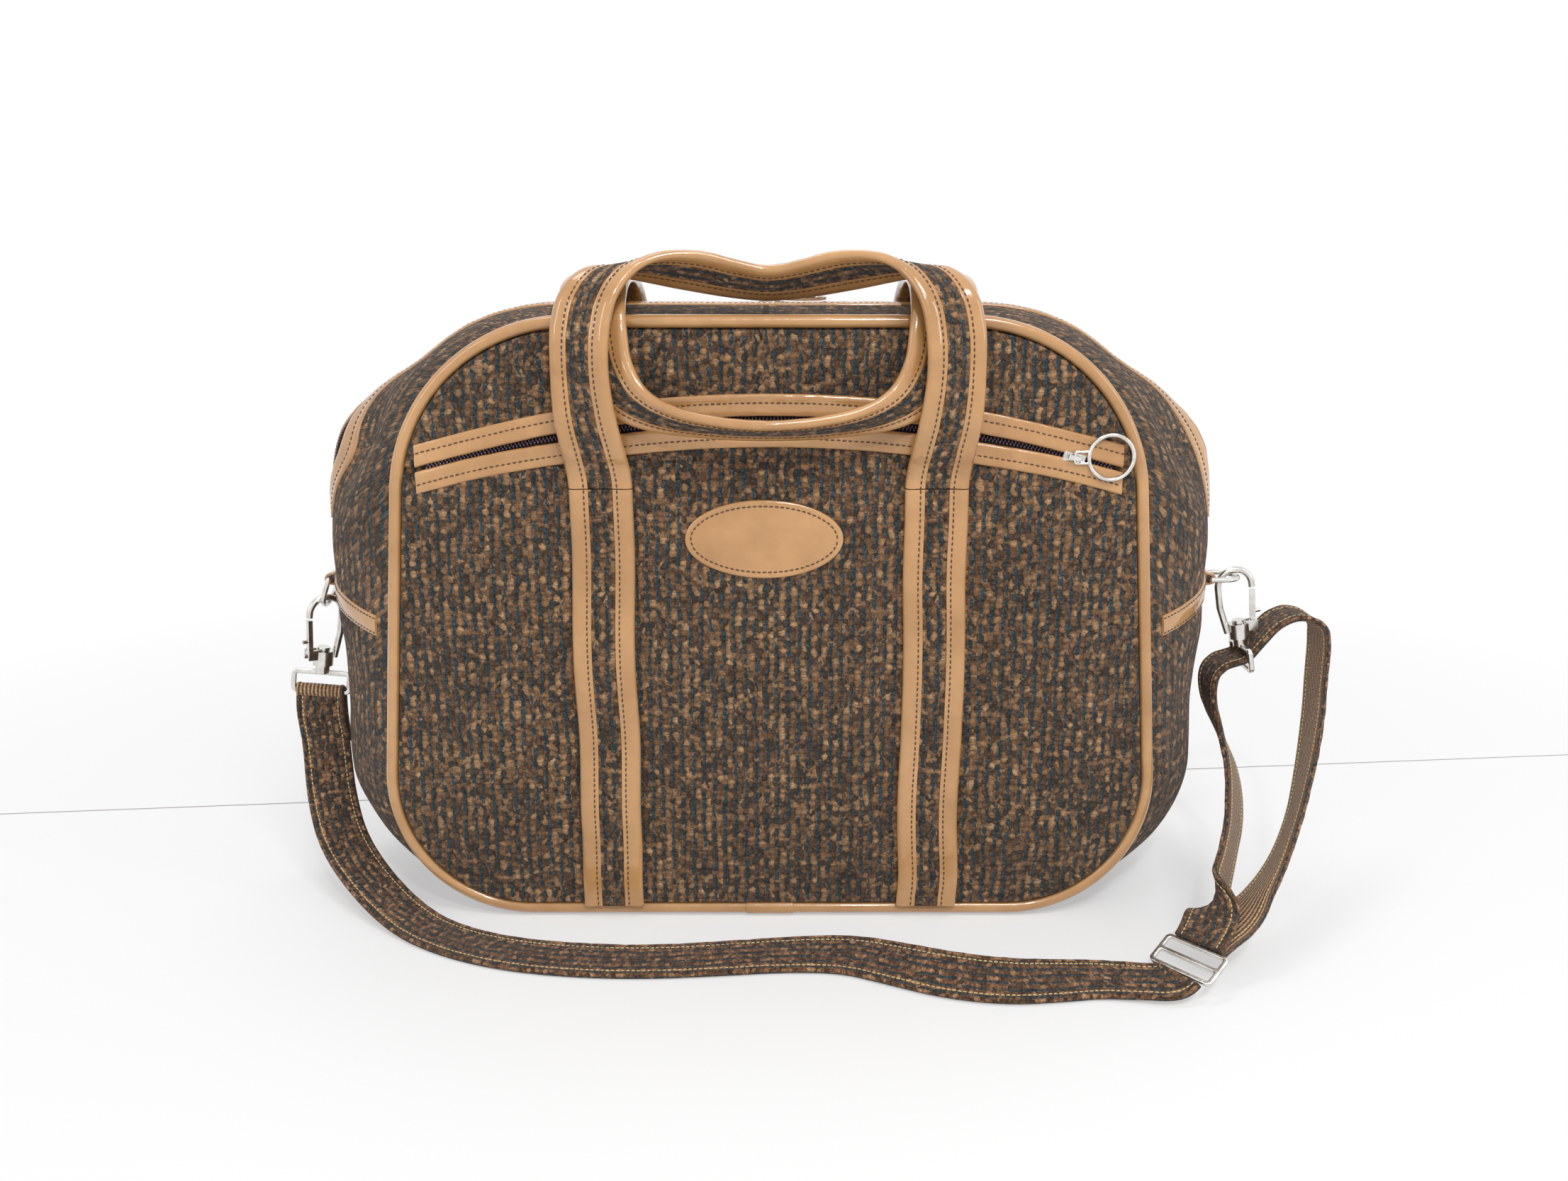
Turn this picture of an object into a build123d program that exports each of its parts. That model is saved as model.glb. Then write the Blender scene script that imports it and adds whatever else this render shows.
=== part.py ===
"""A soft carry-on bag of tweed with vinyl trim.

The bag has a piped front and back panel, a gusset with a long zip over the top, a zipped front
pocket, two carrying handles sewn to the panels, and a shoulder strap on two swivel snap hooks.

Sizes are millimetres, +Z is up and the front faces -Y. Every piece is drawn with y = 0 on the
front panel's face. At the end all of them move so that the origin is in the middle of the base of
the bag's box, which is measured without the shoulder strap.
"""

import os
from math import asin, atan2, cos, degrees, radians, sin, sqrt, tan

from build123d import *

# The bag's body
DEPTH = 165.0  # front face to back face, at the floor
LEAN = 10.0  # degrees that the back panel leans forward
SKIN = 2.5  # thickness of the padded tweed
SEAM = 0.05  # between pieces sewn edge to edge
LINING = 1.2
LINING_GAP = 0.6
LAYER_GAP = 0.3  # between one sewn layer and the next
PANEL = dict(bottom_half=217.4, top_half=191.0, low=5.0, high=333.5, bottom_r=76.0, top_r=96.0)
CROWN = dict(bottom_half=254.5, top_half=254.5, low=3.0, high=343.0, bottom_r=80.0, top_r=142.0)
STATIONS = (0.0, 0.16, 0.36, 0.5, 0.64, 0.84, 1.0)  # where the gusset's sections lie, front to back
SWELL_POWER = 0.8  # lower is a squarer gusset

# Trim
PIPING_R = 3.5
PIPING_WRAP = dict(wall=0.6, length=27.0)
VINYL = 1.0  # thickness of a binding or band
BASE_PANEL = dict(length=300.0, width=140.0, thickness=2.8, corner=22.0)
BASE_BOARD = dict(length=290.0, width=120.0, thickness=3.0, corner=15.0)

# The main zip, in the middle of the gusset
ZIP_GAP = 6.0  # between the two bindings of a zip
ZIP_END_Z = 222.0  # how far down the sides the main zip reaches
TAPE_WIDTH = 20.0
TAPE = 0.6
TAPE_SPLIT = 0.6  # between the two tapes, under the coil
COIL_WIDTH = 2.6
COIL_DEPTH = 0.4  # the coil's top lies this far under the tweed's face
MAIN_BINDING_WIDTH = 11.0
GAPE = dict(height=46.0, width=14.0, z=264.0)  # where the zip's left end stands open

# The front pocket
POCKET_GAP = 0.6  # between the front panel and the pocket's cloth
POCKET_EDGE = 4.3  # the pocket's cloth stops this far inside the panel's outline
MOUTH_R = 680.0
MOUTH_Z = 283.0  # the top of the mouth's arc
MOUTH_REACH = 186.0  # how far to each side the mouth's trim runs
POCKET_BINDING_WIDTH = 10.0
PATCH = dict(length=84.0, width=42.0, z=221.0, x=-2.5, thickness=1.2)

# Zip sliders and their ring pulls
SLIDER = dict(length=12.0, width=9.0, plate=1.3, bridge=1.1, bridge_length=7.4, bridge_width=2.2)
SLIDER_LIFT = 0.3  # between the bindings and the slider's plate
BRIDGE_ROOM = 1.7
RING = dict(radius=11.7, wire=1.1, reach=19.0, eye=3.1, arm=0.75)
POCKET_SLIDER_X = 160.0
PULL_TILT = 14.0  # degrees that the pocket's pull lies above the zip's line

# Handles: straps sewn to the panels, and a free loop above each pair
STRAP_WIDTH = 33.0
STRAP = 3.5
STRAP_TRIM = 4.5  # thickness where the vinyl wraps the strap's edges
TRIM_SHARE = 0.31  # of the strap's width, at each edge
STRAP_X = -88.5  # centre of the left strap
STRAP_LOW = 9.0
FRONT_TACK = 248.0  # height on the panel where the front straps come free
BACK_TACK = 318.0
TACK_GAP = 0.8

# Ring bands and shoulder strap hardware
BAND_WIDTH = 11.5
BAND_Z = 168.0  # at the panels' seams
BAND_RISE = 16.0  # how much higher the band is in the middle of the gusset
BAND_MID_Y = 68.0
RING_BAR_X = 259.0
D_RING = dict(wire=3.0, inner=19.0, side=7.0)
TAB = dict(radius=3.4, width=16.0)
HOOK_EYE_R = 10.0  # the eye's centre line
HOOK_WIRE_R = 2.0
HOOK_BOSS = dict(radius=6.0, low=-40.0, high=-31.0)
PIN_R = 2.5
PIN_CLEARANCE = 0.05
LOOP = dict(length=35.0, height=15.0, wire=3.0, top=-45.0)
SLIDE = dict(length=36.0, width=20.0, wire=2.4)
WEB_WIDTH = 28.0
WEB = 3.4
WEB_CLEARANCE = 0.1  # the strap lies this far above the floor

FRONT = Plane(origin=(0, 0, 0), x_dir=(1, 0, 0), z_dir=(0, -1, 0))
BACK = Plane(
    origin=(0, DEPTH, 0), x_dir=(-1, 0, 0), z_dir=(0, cos(radians(LEAN)), sin(radians(LEAN)))
)
BIG = 900.0


STRAP_NODES = ("shoulder_strap_end", "shoulder_strap_run", "shoulder_strap_loop", "strap_slide")
pieces = {}


def keep(name, shape):
    """Keeps a piece, as one solid or several, until all are written."""
    solids = shape.solids() if hasattr(shape, "solids") else [shape]
    pieces[name] = Compound(children=[Solid(s.wrapped) for s in solids])
    print(name, "solids", len(solids), "volume", round(sum(s.volume for s in solids)))


def write_all():
    boxes = [shape.bounding_box() for name, shape in pieces.items() if name not in STRAP_NODES]
    middle_x = (min(b.min.X for b in boxes) + max(b.max.X for b in boxes)) / 2
    middle_y = (min(b.min.Y for b in boxes) + max(b.max.Y for b in boxes)) / 2
    floor = min(b.min.Z for b in boxes)
    print("origin at", round(middle_x, 4), round(middle_y, 4), round(floor, 4))
    for name, shape in pieces.items():
        export_step(Pos(-middle_x, -middle_y, -floor) * shape, f"parts/{name}.step")


# The bag's form


def outline(bottom_half, top_half, low, high, bottom_r, top_r, inset=0.0):
    """A panel's outline: a trapezoid with rounded corners, drawn inset all round."""
    face = make_face(
        Polyline(
            (-bottom_half + inset, low + inset),
            (bottom_half - inset, low + inset),
            (top_half - inset, high - inset),
            (-top_half + inset, high - inset),
            close=True,
        )
    )
    face = fillet(face.vertices().group_by(Axis.Y)[0], bottom_r - inset)
    return fillet(face.vertices().group_by(Axis.Y)[-1], top_r - inset)


def section_plane(station):
    """The gusset's section plane: upright at the front, leaning with the back panel behind."""
    lean = radians(LEAN * station)
    return Plane(
        origin=(0, DEPTH * station, 0), x_dir=(1, 0, 0), z_dir=(0, -cos(lean), -sin(lean))
    )


def section(station, inset):
    """The bag's outline at a station between the front (0) and the back (1)."""
    swell = sin(radians(180.0 * station)) ** SWELL_POWER if 0 < station < 1 else 0.0
    sizes = {key: PANEL[key] + (CROWN[key] - PANEL[key]) * swell for key in PANEL}
    return outline(**sizes, inset=inset)


def form(inset, end_inset=0.0):
    """The whole bag as one solid, inset all round and at its two ends."""
    faces = []
    for station in STATIONS:
        shift = end_inset if station == 0 else -end_inset if station == 1 else 0.0
        faces.append(section_plane(station).offset(-shift) * section(station, inset))
    return loft(faces)


MID = section_plane(0.5)


def across(half_low, half_high):
    """The two slabs beside the middle plane, as (front, back), between two distances from it."""
    thick = half_high - half_low
    centre = (half_low + half_high) / 2
    return [MID * Pos(0, 0, side * centre) * Box(BIG, BIG, thick) for side in (1, -1)]


def above(height):
    return Pos(0, 0, height + BIG / 2) * Box(BIG, BIG, BIG)


def over_band(shift=0.0):
    """The space above the ring bands' line, which rises to the middle of the gusset."""
    reach = 110.0
    drop = BAND_RISE * reach / BAND_MID_Y
    peak = BAND_Z + BAND_RISE + shift
    side = make_face(
        Polyline(
            (BAND_MID_Y - reach, peak - drop),
            (BAND_MID_Y, peak),
            (BAND_MID_Y + reach, peak - drop),
            (BAND_MID_Y + reach, BIG),
            (BAND_MID_Y - reach, BIG),
            close=True,
        )
    )
    return extrude(Plane.YZ * side, amount=BIG / 2, both=True)


def gape():
    """The lens that stands open at the zip's left end."""
    centre_y = DEPTH / 2 - GAPE["z"] * tan(radians(LEAN / 2))
    lens = Ellipse(GAPE["width"] / 2, GAPE["height"] / 2)
    place = Plane(origin=(-BIG / 2, centre_y, GAPE["z"]), x_dir=(0, 1, 0), z_dir=(1, 0, 0))
    return extrude(place * lens, amount=BIG / 2)


def body_pieces():
    """Gusset, piping, lining, main zip and ring bands, all cut from skins of the bag's form."""
    outer = form(0.0)
    pipings = {name: piping(plane, outer) for name, plane in (("front", FRONT), ("back", BACK))}
    skin = outer - form(SKIN)
    trim = form(-VINYL) - outer
    zip_slot = (MID * Box(BIG, BIG, ZIP_GAP)) & above(ZIP_END_Z)
    open_end = gape()
    sides = [MID * Pos(0, 0, side * BIG / 2) * Box(BIG, BIG, BIG) for side in (1, -1)]
    top = (skin & over_band()) - zip_slot
    keep("gusset_front", top & sides[0])
    keep("gusset_back", top & sides[1])
    keep("gusset_base", skin - over_band())

    start = SKIN + LINING_GAP
    lined = form(start, start) - form(start + LINING, start + LINING)
    slot = (MID * Box(BIG, BIG, TAPE_WIDTH + 2 * LINING_GAP)) & above(ZIP_END_Z - 3 * VINYL)
    keep("lining", lined - slot)

    high_part = above(ZIP_END_Z - VINYL)
    tape_skin = (form(SKIN) - form(SKIN + TAPE)) & high_part
    for name, slab in zip(("front", "back"), across(TAPE_SPLIT / 2, TAPE_WIDTH / 2)):
        keep(f"main_zip_{name}_tape", (tape_skin & slab) - open_end)
    coil = (form(COIL_DEPTH) - form(SKIN)) & (MID * Box(BIG, BIG, COIL_WIDTH))
    keep("main_zip_coil", (coil & high_part & above(ZIP_END_Z)) - open_end)
    bindings = across(ZIP_GAP / 2, ZIP_GAP / 2 + MAIN_BINDING_WIDTH)
    for name, slab in zip(("front", "back"), bindings):
        keep(f"main_zip_{name}_binding", trim & slab & high_part)

    band = trim & (over_band(-BAND_WIDTH / 2) - over_band(BAND_WIDTH / 2))
    for name, cord in pipings.items():
        keep(f"{name}_piping", cord)
        band -= cord
    for name, side in (("left", -1), ("right", 1)):
        half = Pos(side * BIG / 2, 0, 0) * Box(BIG, BIG, BIG)
        keep(f"{name}_ring_band", band & half)
        keep(f"{name}_ring_tab", ring_tab(side) - form(-VINYL))
    return outer, form(SKIN + SEAM)


# Panels, piping and base


def panel_plate(plane, inset, start, thickness):
    """A flat sewn layer with the panel's outline, standing off the panel's face."""
    return extrude(plane.offset(start) * outline(**PANEL, inset=inset), amount=thickness)


def piping(plane, body):
    """Round piping along a panel's edge, cut to sit on the bag's corner."""
    path = (plane * outline(**PANEL)).face().outer_wire()
    start = path @ 0
    ring = Plane(origin=start, z_dir=path % 0) * Circle(PIPING_R)
    return sweep(ring, path=path) - body


def panels_and_base(body, inside):
    for name, plane in (("front", FRONT), ("back", BACK)):
        keep(f"{name}_panel", panel_plate(plane, 0.0, -SKIN, SKIN) & inside)
    wrap = Cylinder(PIPING_R + PIPING_WRAP["wall"], PIPING_WRAP["length"], rotation=(0, 90, 0))
    wrap -= Cylinder(PIPING_R, BIG, rotation=(0, 90, 0))
    keep("front_piping_wrap", Pos(0, 0, PANEL["low"]) * wrap - body)
    base = Pos(0, DEPTH / 2) * RectangleRounded(
        BASE_PANEL["length"], BASE_PANEL["width"], BASE_PANEL["corner"]
    )
    keep("base_panel", extrude(base, amount=BASE_PANEL["thickness"]))
    board = Pos(0, DEPTH / 2) * RectangleRounded(
        BASE_BOARD["length"], BASE_BOARD["width"], BASE_BOARD["corner"]
    )
    floor = (PANEL["low"] + CROWN["low"]) / 2 + SKIN + LINING_GAP + LINING + LAYER_GAP
    keep("base_board", Pos(0, 0, floor) * extrude(board, amount=BASE_BOARD["thickness"]))


# The front pocket


def mouth_ring(low, high, start, thickness):
    """A strip along the pocket's mouth, between two distances from its arc."""
    ring = Circle(MOUTH_R + high) - Circle(MOUTH_R + low)
    ring = Pos(0, MOUTH_Z - MOUTH_R) * ring
    window = Pos(0, MOUTH_Z) * Rectangle(2 * MOUTH_REACH, 2 * MOUTH_REACH)
    inside = outline(**PANEL, inset=POCKET_EDGE)
    return extrude(FRONT.offset(start) * (ring & window & inside), amount=thickness)


def pocket_face():
    return POCKET_GAP + SKIN


def pocket_pieces():
    edge = ZIP_GAP / 2
    sheet = panel_plate(FRONT, POCKET_EDGE, POCKET_GAP, SKIN)
    disc = extrude(
        FRONT * (Pos(0, MOUTH_Z - MOUTH_R) * Circle(MOUTH_R - edge)), amount=2 * SKIN + POCKET_GAP
    )
    outside = extrude(
        FRONT * (Pos(0, MOUTH_Z - MOUTH_R) * Circle(MOUTH_R + edge)), amount=2 * SKIN + POCKET_GAP
    )
    keep("pocket_panel", sheet & disc)
    keep("front_yoke", sheet - outside)
    reach = edge + POCKET_BINDING_WIDTH
    keep("pocket_upper_binding", mouth_ring(edge, reach, pocket_face(), VINYL))
    keep("pocket_lower_binding", mouth_ring(-reach, -edge, pocket_face(), VINYL))
    upper = mouth_ring(TAPE_SPLIT / 2, TAPE_WIDTH / 2, 0.0, POCKET_GAP)
    lower = mouth_ring(-TAPE_WIDTH / 2, -TAPE_SPLIT / 2, 0.0, POCKET_GAP)
    keep("pocket_zip_tapes", Compound(children=[upper.solid(), lower.solid()]))
    keep("pocket_zip_coil", mouth_ring(-COIL_WIDTH / 2, COIL_WIDTH / 2, POCKET_GAP, SKIN - COIL_DEPTH))
    oval = Pos(PATCH["x"], PATCH["z"]) * Ellipse(PATCH["length"] / 2, PATCH["width"] / 2)
    patch = extrude(FRONT.offset(pocket_face()) * oval, amount=PATCH["thickness"])
    keep("oval_patch", chamfer(patch.faces().sort_by(Axis.Y)[0].edges(), 0.4))


# Zip sliders and pulls, drawn on the zip's line with +Z outwards and +X along the zip


def zip_slider():
    """A slider's plate and bridge. z = 0 is the tweed's face, and the bindings stand on it."""
    floor = VINYL + SLIDER_LIFT
    top = floor + SLIDER["plate"]
    plate = Pos(0, 0, floor) * extrude(
        RectangleRounded(SLIDER["length"], SLIDER["width"], 2.6), amount=SLIDER["plate"]
    )
    plate = chamfer(plate.faces().sort_by(Axis.Z)[-1].edges(), 0.4)
    rim = COIL_WIDTH / 2 + LAYER_GAP
    wall = ZIP_GAP / 2 - LAYER_GAP - rim
    for side in (1, -1):
        flange = Box(
            SLIDER["length"] - 3, wall, floor + 0.4, align=(Align.CENTER, Align.CENTER, Align.MAX)
        )
        plate += Pos(0, side * (rim + wall / 2), floor) * flange
    bridge = Box(
        SLIDER["bridge_length"],
        SLIDER["bridge_width"],
        BRIDGE_ROOM + SLIDER["bridge"],
        align=(Align.CENTER, Align.CENTER, Align.MIN),
    )
    bridge = fillet(bridge.edges().filter_by(Axis.Y).group_by(Axis.Z)[-1], 1.0)
    room = Box(
        SLIDER["bridge_length"] - 2.4,
        BIG,
        BRIDGE_ROOM,
        align=(Align.CENTER, Align.CENTER, Align.MIN),
    )
    return plate + Pos(0, 0, top) * (bridge - room)


def pull_axis_z():
    return VINYL + SLIDER_LIFT + SLIDER["plate"] + BRIDGE_ROOM / 2


def ring_pull():
    """A keyhole-shaped ring pull: a small eye round the slider's bridge, and a finger ring."""
    arm, eye = RING["arm"], RING["eye"]
    meet = RING["reach"] - sqrt(RING["radius"] ** 2 - eye**2) + 0.4
    path = FilletPolyline((meet, eye), (0, eye), (0, -eye), (meet, -eye), radius=1.2)
    hoop = sweep(Plane(origin=path @ 0, z_dir=path % 0) * Circle(arm), path=path)
    ring = Pos(RING["reach"], 0, 0) * Torus(RING["radius"], RING["wire"])
    return Pos(0, 0, pull_axis_z()) * (hoop + ring)


def pocket_slider_place():
    """The pocket slider's place: on the mouth's arc, turned along it."""
    turn = degrees(asin(POCKET_SLIDER_X / MOUTH_R))
    z = MOUTH_Z - MOUTH_R * (1 - cos(radians(turn)))
    return (FRONT.offset(pocket_face())).location * Pos(POCKET_SLIDER_X, z, 0) * Rot(0, 0, -turn)


def crown_slope():
    """The fall of the gusset's top from the front panel to the back one, in degrees."""
    back_top = BACK.from_local_coords((0, PANEL["high"], 0))
    return degrees(atan2(back_top.Z - PANEL["high"], back_top.Y))


def main_slider_place():
    """The main slider's place: on the gusset's crown, halfway along the straight top."""
    crown = MID.from_local_coords((0, CROWN["high"], 0))
    return Pos(*crown) * Rot(crown_slope(), 0, 0)


def slider_pieces():
    for name, place, tilt in (
        ("pocket", pocket_slider_place(), PULL_TILT),
        ("main", main_slider_place(), 0.0),
    ):
        keep(f"{name}_slider", place * zip_slider())
        keep(f"{name}_ring_pull", place * Rot(0, 0, tilt) * ring_pull())


# Straps, as ruled bands between two edges


def smooth(rows, steps=3):
    """Adds rows between the given ones, on a curve through them all."""
    points = [[Vector(*edge) for edge in row] for row in rows]
    ends = [
        [points[0][k] * 2 - points[1][k] for k in (0, 1)],
        [points[-1][k] * 2 - points[-2][k] for k in (0, 1)],
    ]
    points = [ends[0]] + points + [ends[1]]
    made = []
    for before, start, stop, after in zip(points, points[1:], points[2:], points[3:]):
        for step in range(steps):
            t = step / steps
            made.append([catmull(before[k], start[k], stop[k], after[k], t) for k in (0, 1)])
    return made + [points[-2]]


def catmull(before, start, stop, after, t):
    """A point on the Catmull-Rom curve from start (t = 0) to stop (t = 1)."""
    linear = (stop - before) * (0.5 * t)
    square = (before * 2 - start * 5 + stop * 4 - after) * (0.5 * t * t)
    cube = (start * 3 - before - stop * 3 + after) * (0.5 * t * t * t)
    return start + linear + square + cube


def band(rows, low, high, thickness):
    """A strip of a strap, between two shares of its width, along rows of (edge, edge)."""
    middles = [(a + b) * 0.5 for a, b in rows]
    faces = []
    for i, (a, b) in enumerate(rows):
        along = middles[min(i + 1, len(rows) - 1)] - middles[max(i - 1, 0)]
        out = along.cross(b - a).normalized() * (thickness / 2)
        p, q = a + (b - a) * low, a + (b - a) * high
        faces.append(make_face(Polyline(p - out, q - out, q + out, p + out, close=True)))
    return loft(faces, ruled=True)


def squared(rows, width):
    """The same rows with one width, square to the way that the strap runs; the end rows stay."""
    middles = [(a + b) * 0.5 for a, b in rows]
    made = [rows[0]]
    for i in range(1, len(rows) - 1):
        a, b = rows[i]
        along = (middles[i + 1] - middles[i - 1]).normalized()
        wide = (b - a) - along * (b - a).dot(along)
        wide = wide.normalized() * (width / 2)
        made.append([middles[i] - wide, middles[i] + wide])
    return made + [rows[-1]]


def strap_length(rows):
    middles = [(a + b) * 0.5 for a, b in rows]
    return sum((b - a).length for a, b in zip(middles, middles[1:]))


def mirrored(rows):
    """The rows of a left half, and then the same rows on the right, back down."""
    other = [[(-x, y, z) for x, y, z in row] for row in reversed(rows[:-1])]
    return rows + other


def strap_pieces(name, rows, steps=3):
    """A strap's tweed and its two vinyl edges, as two nodes."""
    rows = smooth(rows, steps)
    keep(name, band(rows, TRIM_SHARE, 1 - TRIM_SHARE, STRAP))
    edges = [band(rows, 0.0, TRIM_SHARE, STRAP_TRIM), band(rows, 1 - TRIM_SHARE, 1.0, STRAP_TRIM)]
    keep(f"{name}_trim", Compound(children=[e.solid() for e in edges]))


def sewn_straps():
    """The four straps that are sewn flat to the panels."""
    half = STRAP_WIDTH / 2
    for side, x in (("left", STRAP_X), ("right", -STRAP_X)):
        for panel, plane, face, top in (
            ("front", FRONT, pocket_face(), FRONT_TACK - TACK_GAP),
            ("back", BACK, 0.0, BACK_TACK - TACK_GAP),
        ):
            lie = face + STRAP_TRIM / 2
            centre = x if panel == "front" else -x
            rows = [
                [plane.from_local_coords((centre + s * half, v, lie)) for s in (-1, 1)]
                for v in (STRAP_LOW, top)
            ]
            rows = [[tuple(p) for p in row] for row in rows]
            strap_pieces(f"{panel}_{side}_strap", rows, steps=1)


def front_handle():
    """The front loop stands up, and its grip leans back over the bag."""
    lie = -(pocket_face() + STRAP_TRIM / 2)
    rows = [
        [(-72.0, lie, FRONT_TACK), (-105.0, lie, FRONT_TACK)],
        [(-72.4, lie - 0.9, 254.0), (-105.4, lie - 0.9, 254.0)],
        [(-73.2, -9.2, 261.0), (-106.2, -8.8, 261.0)],
        [(-74.5, -14.5, 269.0), (-107.0, -12.5, 269.0)],
        [(-77.5, -21.5, 286.0), (-109.5, -16.0, 286.0)],
        [(-80.0, -25.5, 308.0), (-110.0, -17.0, 309.0)],
        [(-79.0, -26.5, 328.0), (-109.0, -17.0, 331.0)],
        [(-75.0, -24.0, 345.0), (-104.0, -14.0, 348.0)],
        [(-66.0, -18.0, 358.5), (-93.0, -3.0, 358.5)],
        [(-53.0, -14.0, 366.0), (-75.0, 9.0, 356.5)],
        [(-34.0, -11.0, 367.0), (-48.0, 16.0, 351.0)],
        [(-15.0, -9.0, 362.5), (-20.0, 19.0, 346.5)],
        [(0.0, -8.0, 360.0), (0.0, 20.0, 345.0)],
    ]
    strap_pieces("front_handle", mirrored(rows))


def back_handle():
    """The back loop lies over the bag's top and hangs in front, behind the front straps."""
    start = BACK.from_local_coords((0, BACK_TACK, STRAP_TRIM / 2))
    after = BACK.from_local_coords((0, BACK_TACK + 6.0, STRAP_TRIM / 2 + 0.9))
    rows = [
        [(-72.0, start.Y, start.Z), (-105.0, start.Y, start.Z)],
        [(-72.2, after.Y, after.Z), (-105.2, after.Y, after.Z)],
        [(-72.5, 113.6, 327.0), (-106.0, 113.6, 327.0)],
        [(-73.0, 112.0, 334.0), (-107.0, 112.0, 334.0)],
        [(-73.0, 105.0, 340.0), (-107.0, 105.0, 340.0)],
        [(-73.0, 89.0, 348.0), (-107.0, 89.0, 348.0)],
        [(-73.0, 70.0, 353.5), (-107.0, 70.0, 353.5)],
        [(-73.0, 50.0, 355.5), (-107.0, 50.0, 355.5)],
        [(-73.0, 30.0, 355.0), (-107.0, 30.0, 355.0)],
        [(-73.0, 14.0, 352.5), (-107.0, 14.0, 352.5)],
        [(-73.0, 2.0, 348.0), (-107.0, 2.0, 348.0)],
        [(-72.5, -10.5, 339.5), (-106.0, -9.5, 338.5)],
        [(-71.5, -15.5, 330.0), (-104.0, -10.6, 327.0)],
        [(-69.0, -19.0, 314.0), (-98.5, -11.2, 308.0)],
        [(-61.0, -23.0, 300.0), (-86.0, -12.4, 290.0)],
        [(-45.0, -29.5, 291.0), (-65.0, -13.2, 280.5)],
        [(-23.0, -36.0, 286.0), (-33.0, -13.7, 276.5)],
        [(0.0, -39.0, 284.5), (0.0, -14.2, 275.5)],
    ]
    strap_pieces("back_handle", mirrored(rows))


# D-rings, tabs and snap hooks


def ring_tab(side):
    """The vinyl tab that holds a D-ring's bar on the ring band."""
    profile = Circle(TAB["radius"])
    profile += Pos(-TAB["radius"] / 2 - 2, 0) * Rectangle(TAB["radius"] + 4, 2 * TAB["radius"])
    profile -= Circle(D_RING["wire"] / 2 + PIN_CLEARANCE)
    tab = extrude(Plane.XZ * profile, amount=TAB["width"] / 2, both=True)
    if side < 0:
        tab = mirror(tab, about=Plane.YZ)
    return Pos(side * RING_BAR_X, BAND_MID_Y, BAND_Z + BAND_RISE) * tab


def d_ring():
    """A D-ring with its bar on the Y axis and its bow towards +X."""
    wire, side = D_RING["wire"] / 2, D_RING["side"]
    half = D_RING["inner"] / 2 + wire
    bow = Torus(half, wire) & (Pos(BIG / 2, 0, 0) * Box(BIG, BIG, BIG))
    ring = Cylinder(wire, 2 * half, rotation=(90, 0, 0)) + Pos(side, 0, 0) * bow
    for end in (half, -half):
        ring += Pos(side / 2, end, 0) * Cylinder(wire, side, rotation=(0, 90, 0))
        ring += Pos(0, end, 0) * Sphere(wire)
    return ring


def ring_apex():
    """From the D-ring's bar to the middle of its bow's wire."""
    return D_RING["side"] + D_RING["inner"] / 2 + D_RING["wire"] / 2


def hook_body():
    """The hook: a wire eye on a bored boss, with two ears for the gate's pin."""
    r = HOOK_EYE_R
    top = HOOK_WIRE_R
    corners = ((-7.0, 0, -36.0), (-r, 0, -20.0), (-r, 0, top), (r, 0, top), (r, 0, -10.0))
    path = FilletPolyline(*corners, radius=(8.0, r - 0.1, r - 0.1))
    start = Plane(origin=path @ 0, z_dir=path % 0)
    wire = sweep(start * Circle(HOOK_WIRE_R), path=path)
    low, high = HOOK_BOSS["low"], HOOK_BOSS["high"]
    boss = Pos(0, 0, (low + high) / 2) * Cylinder(HOOK_BOSS["radius"], high - low)
    ears = Pos(7.0, 2.8, -33.0) * Box(7.0, 1.4, 6.0) + Pos(7.0, -2.8, -33.0) * Box(7.0, 1.4, 6.0)
    pin = Pos(*gate_axis()) * Cylinder(1.0, 7.0, rotation=(90, 0, 0))
    bore = Pos(0, 0, (low + high) / 2) * Cylinder(PIN_R + PIN_CLEARANCE, 2 * (high - low))
    return (wire + boss + ears - bore) + pin


def gate_axis():
    return (8.4, 0.0, -32.0)


def hook_gate():
    """The sprung gate: a knuckle on the hook's pin, a bar up to the eye's end, and a thumb stub."""
    x, _, z = gate_axis()
    knuckle = Pos(x, 0, z) * Cylinder(2.1, 3.6, rotation=(90, 0, 0))
    lean = degrees(asin((HOOK_EYE_R - x) / 20.0))
    bar = Pos(x, 0, z) * Rot(0, lean, 0) * Pos(0, 0, 11.0) * Box(2.6, 3.4, 19.0)
    stub = Pos(x + 2.6, 0, z + 7.0) * Cylinder(1.2, 5.0, rotation=(0, 90, 0))
    hole = Pos(x, 0, z) * Cylinder(1.0 + PIN_CLEARANCE, BIG, rotation=(90, 0, 0))
    return (knuckle + bar + stub) - hole


def swivel_loop():
    """The loop that the strap passes through, on a headed pin that turns in the hook's boss."""
    length, height, wire, top = LOOP["length"], LOOP["height"], LOOP["wire"], LOOP["top"]
    frame = RectangleRounded(length, height, 3.5)
    frame -= RectangleRounded(length - 2 * wire, height - 2 * wire, 1.0)
    frame = extrude(Plane.XZ * frame, amount=wire / 2, both=True)
    frame = fillet(frame.faces().filter_by(Axis.Y).edges(), 0.9)
    frame = Pos(0, 0, top - height / 2 + wire / 2) * frame
    low, high = HOOK_BOSS["low"], HOOK_BOSS["high"]
    pin = Pos(0, 0, (top + high + 0.3) / 2) * Cylinder(PIN_R, high + 0.3 - top)
    head = Pos(0, 0, high + 0.3 + 0.9) * Cylinder(3.6, 1.8)
    neck = Pos(0, 0, (top + low - 0.3) / 2) * Cylinder(4.2, low - 0.3 - top)
    return frame + pin + head + neck


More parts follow.
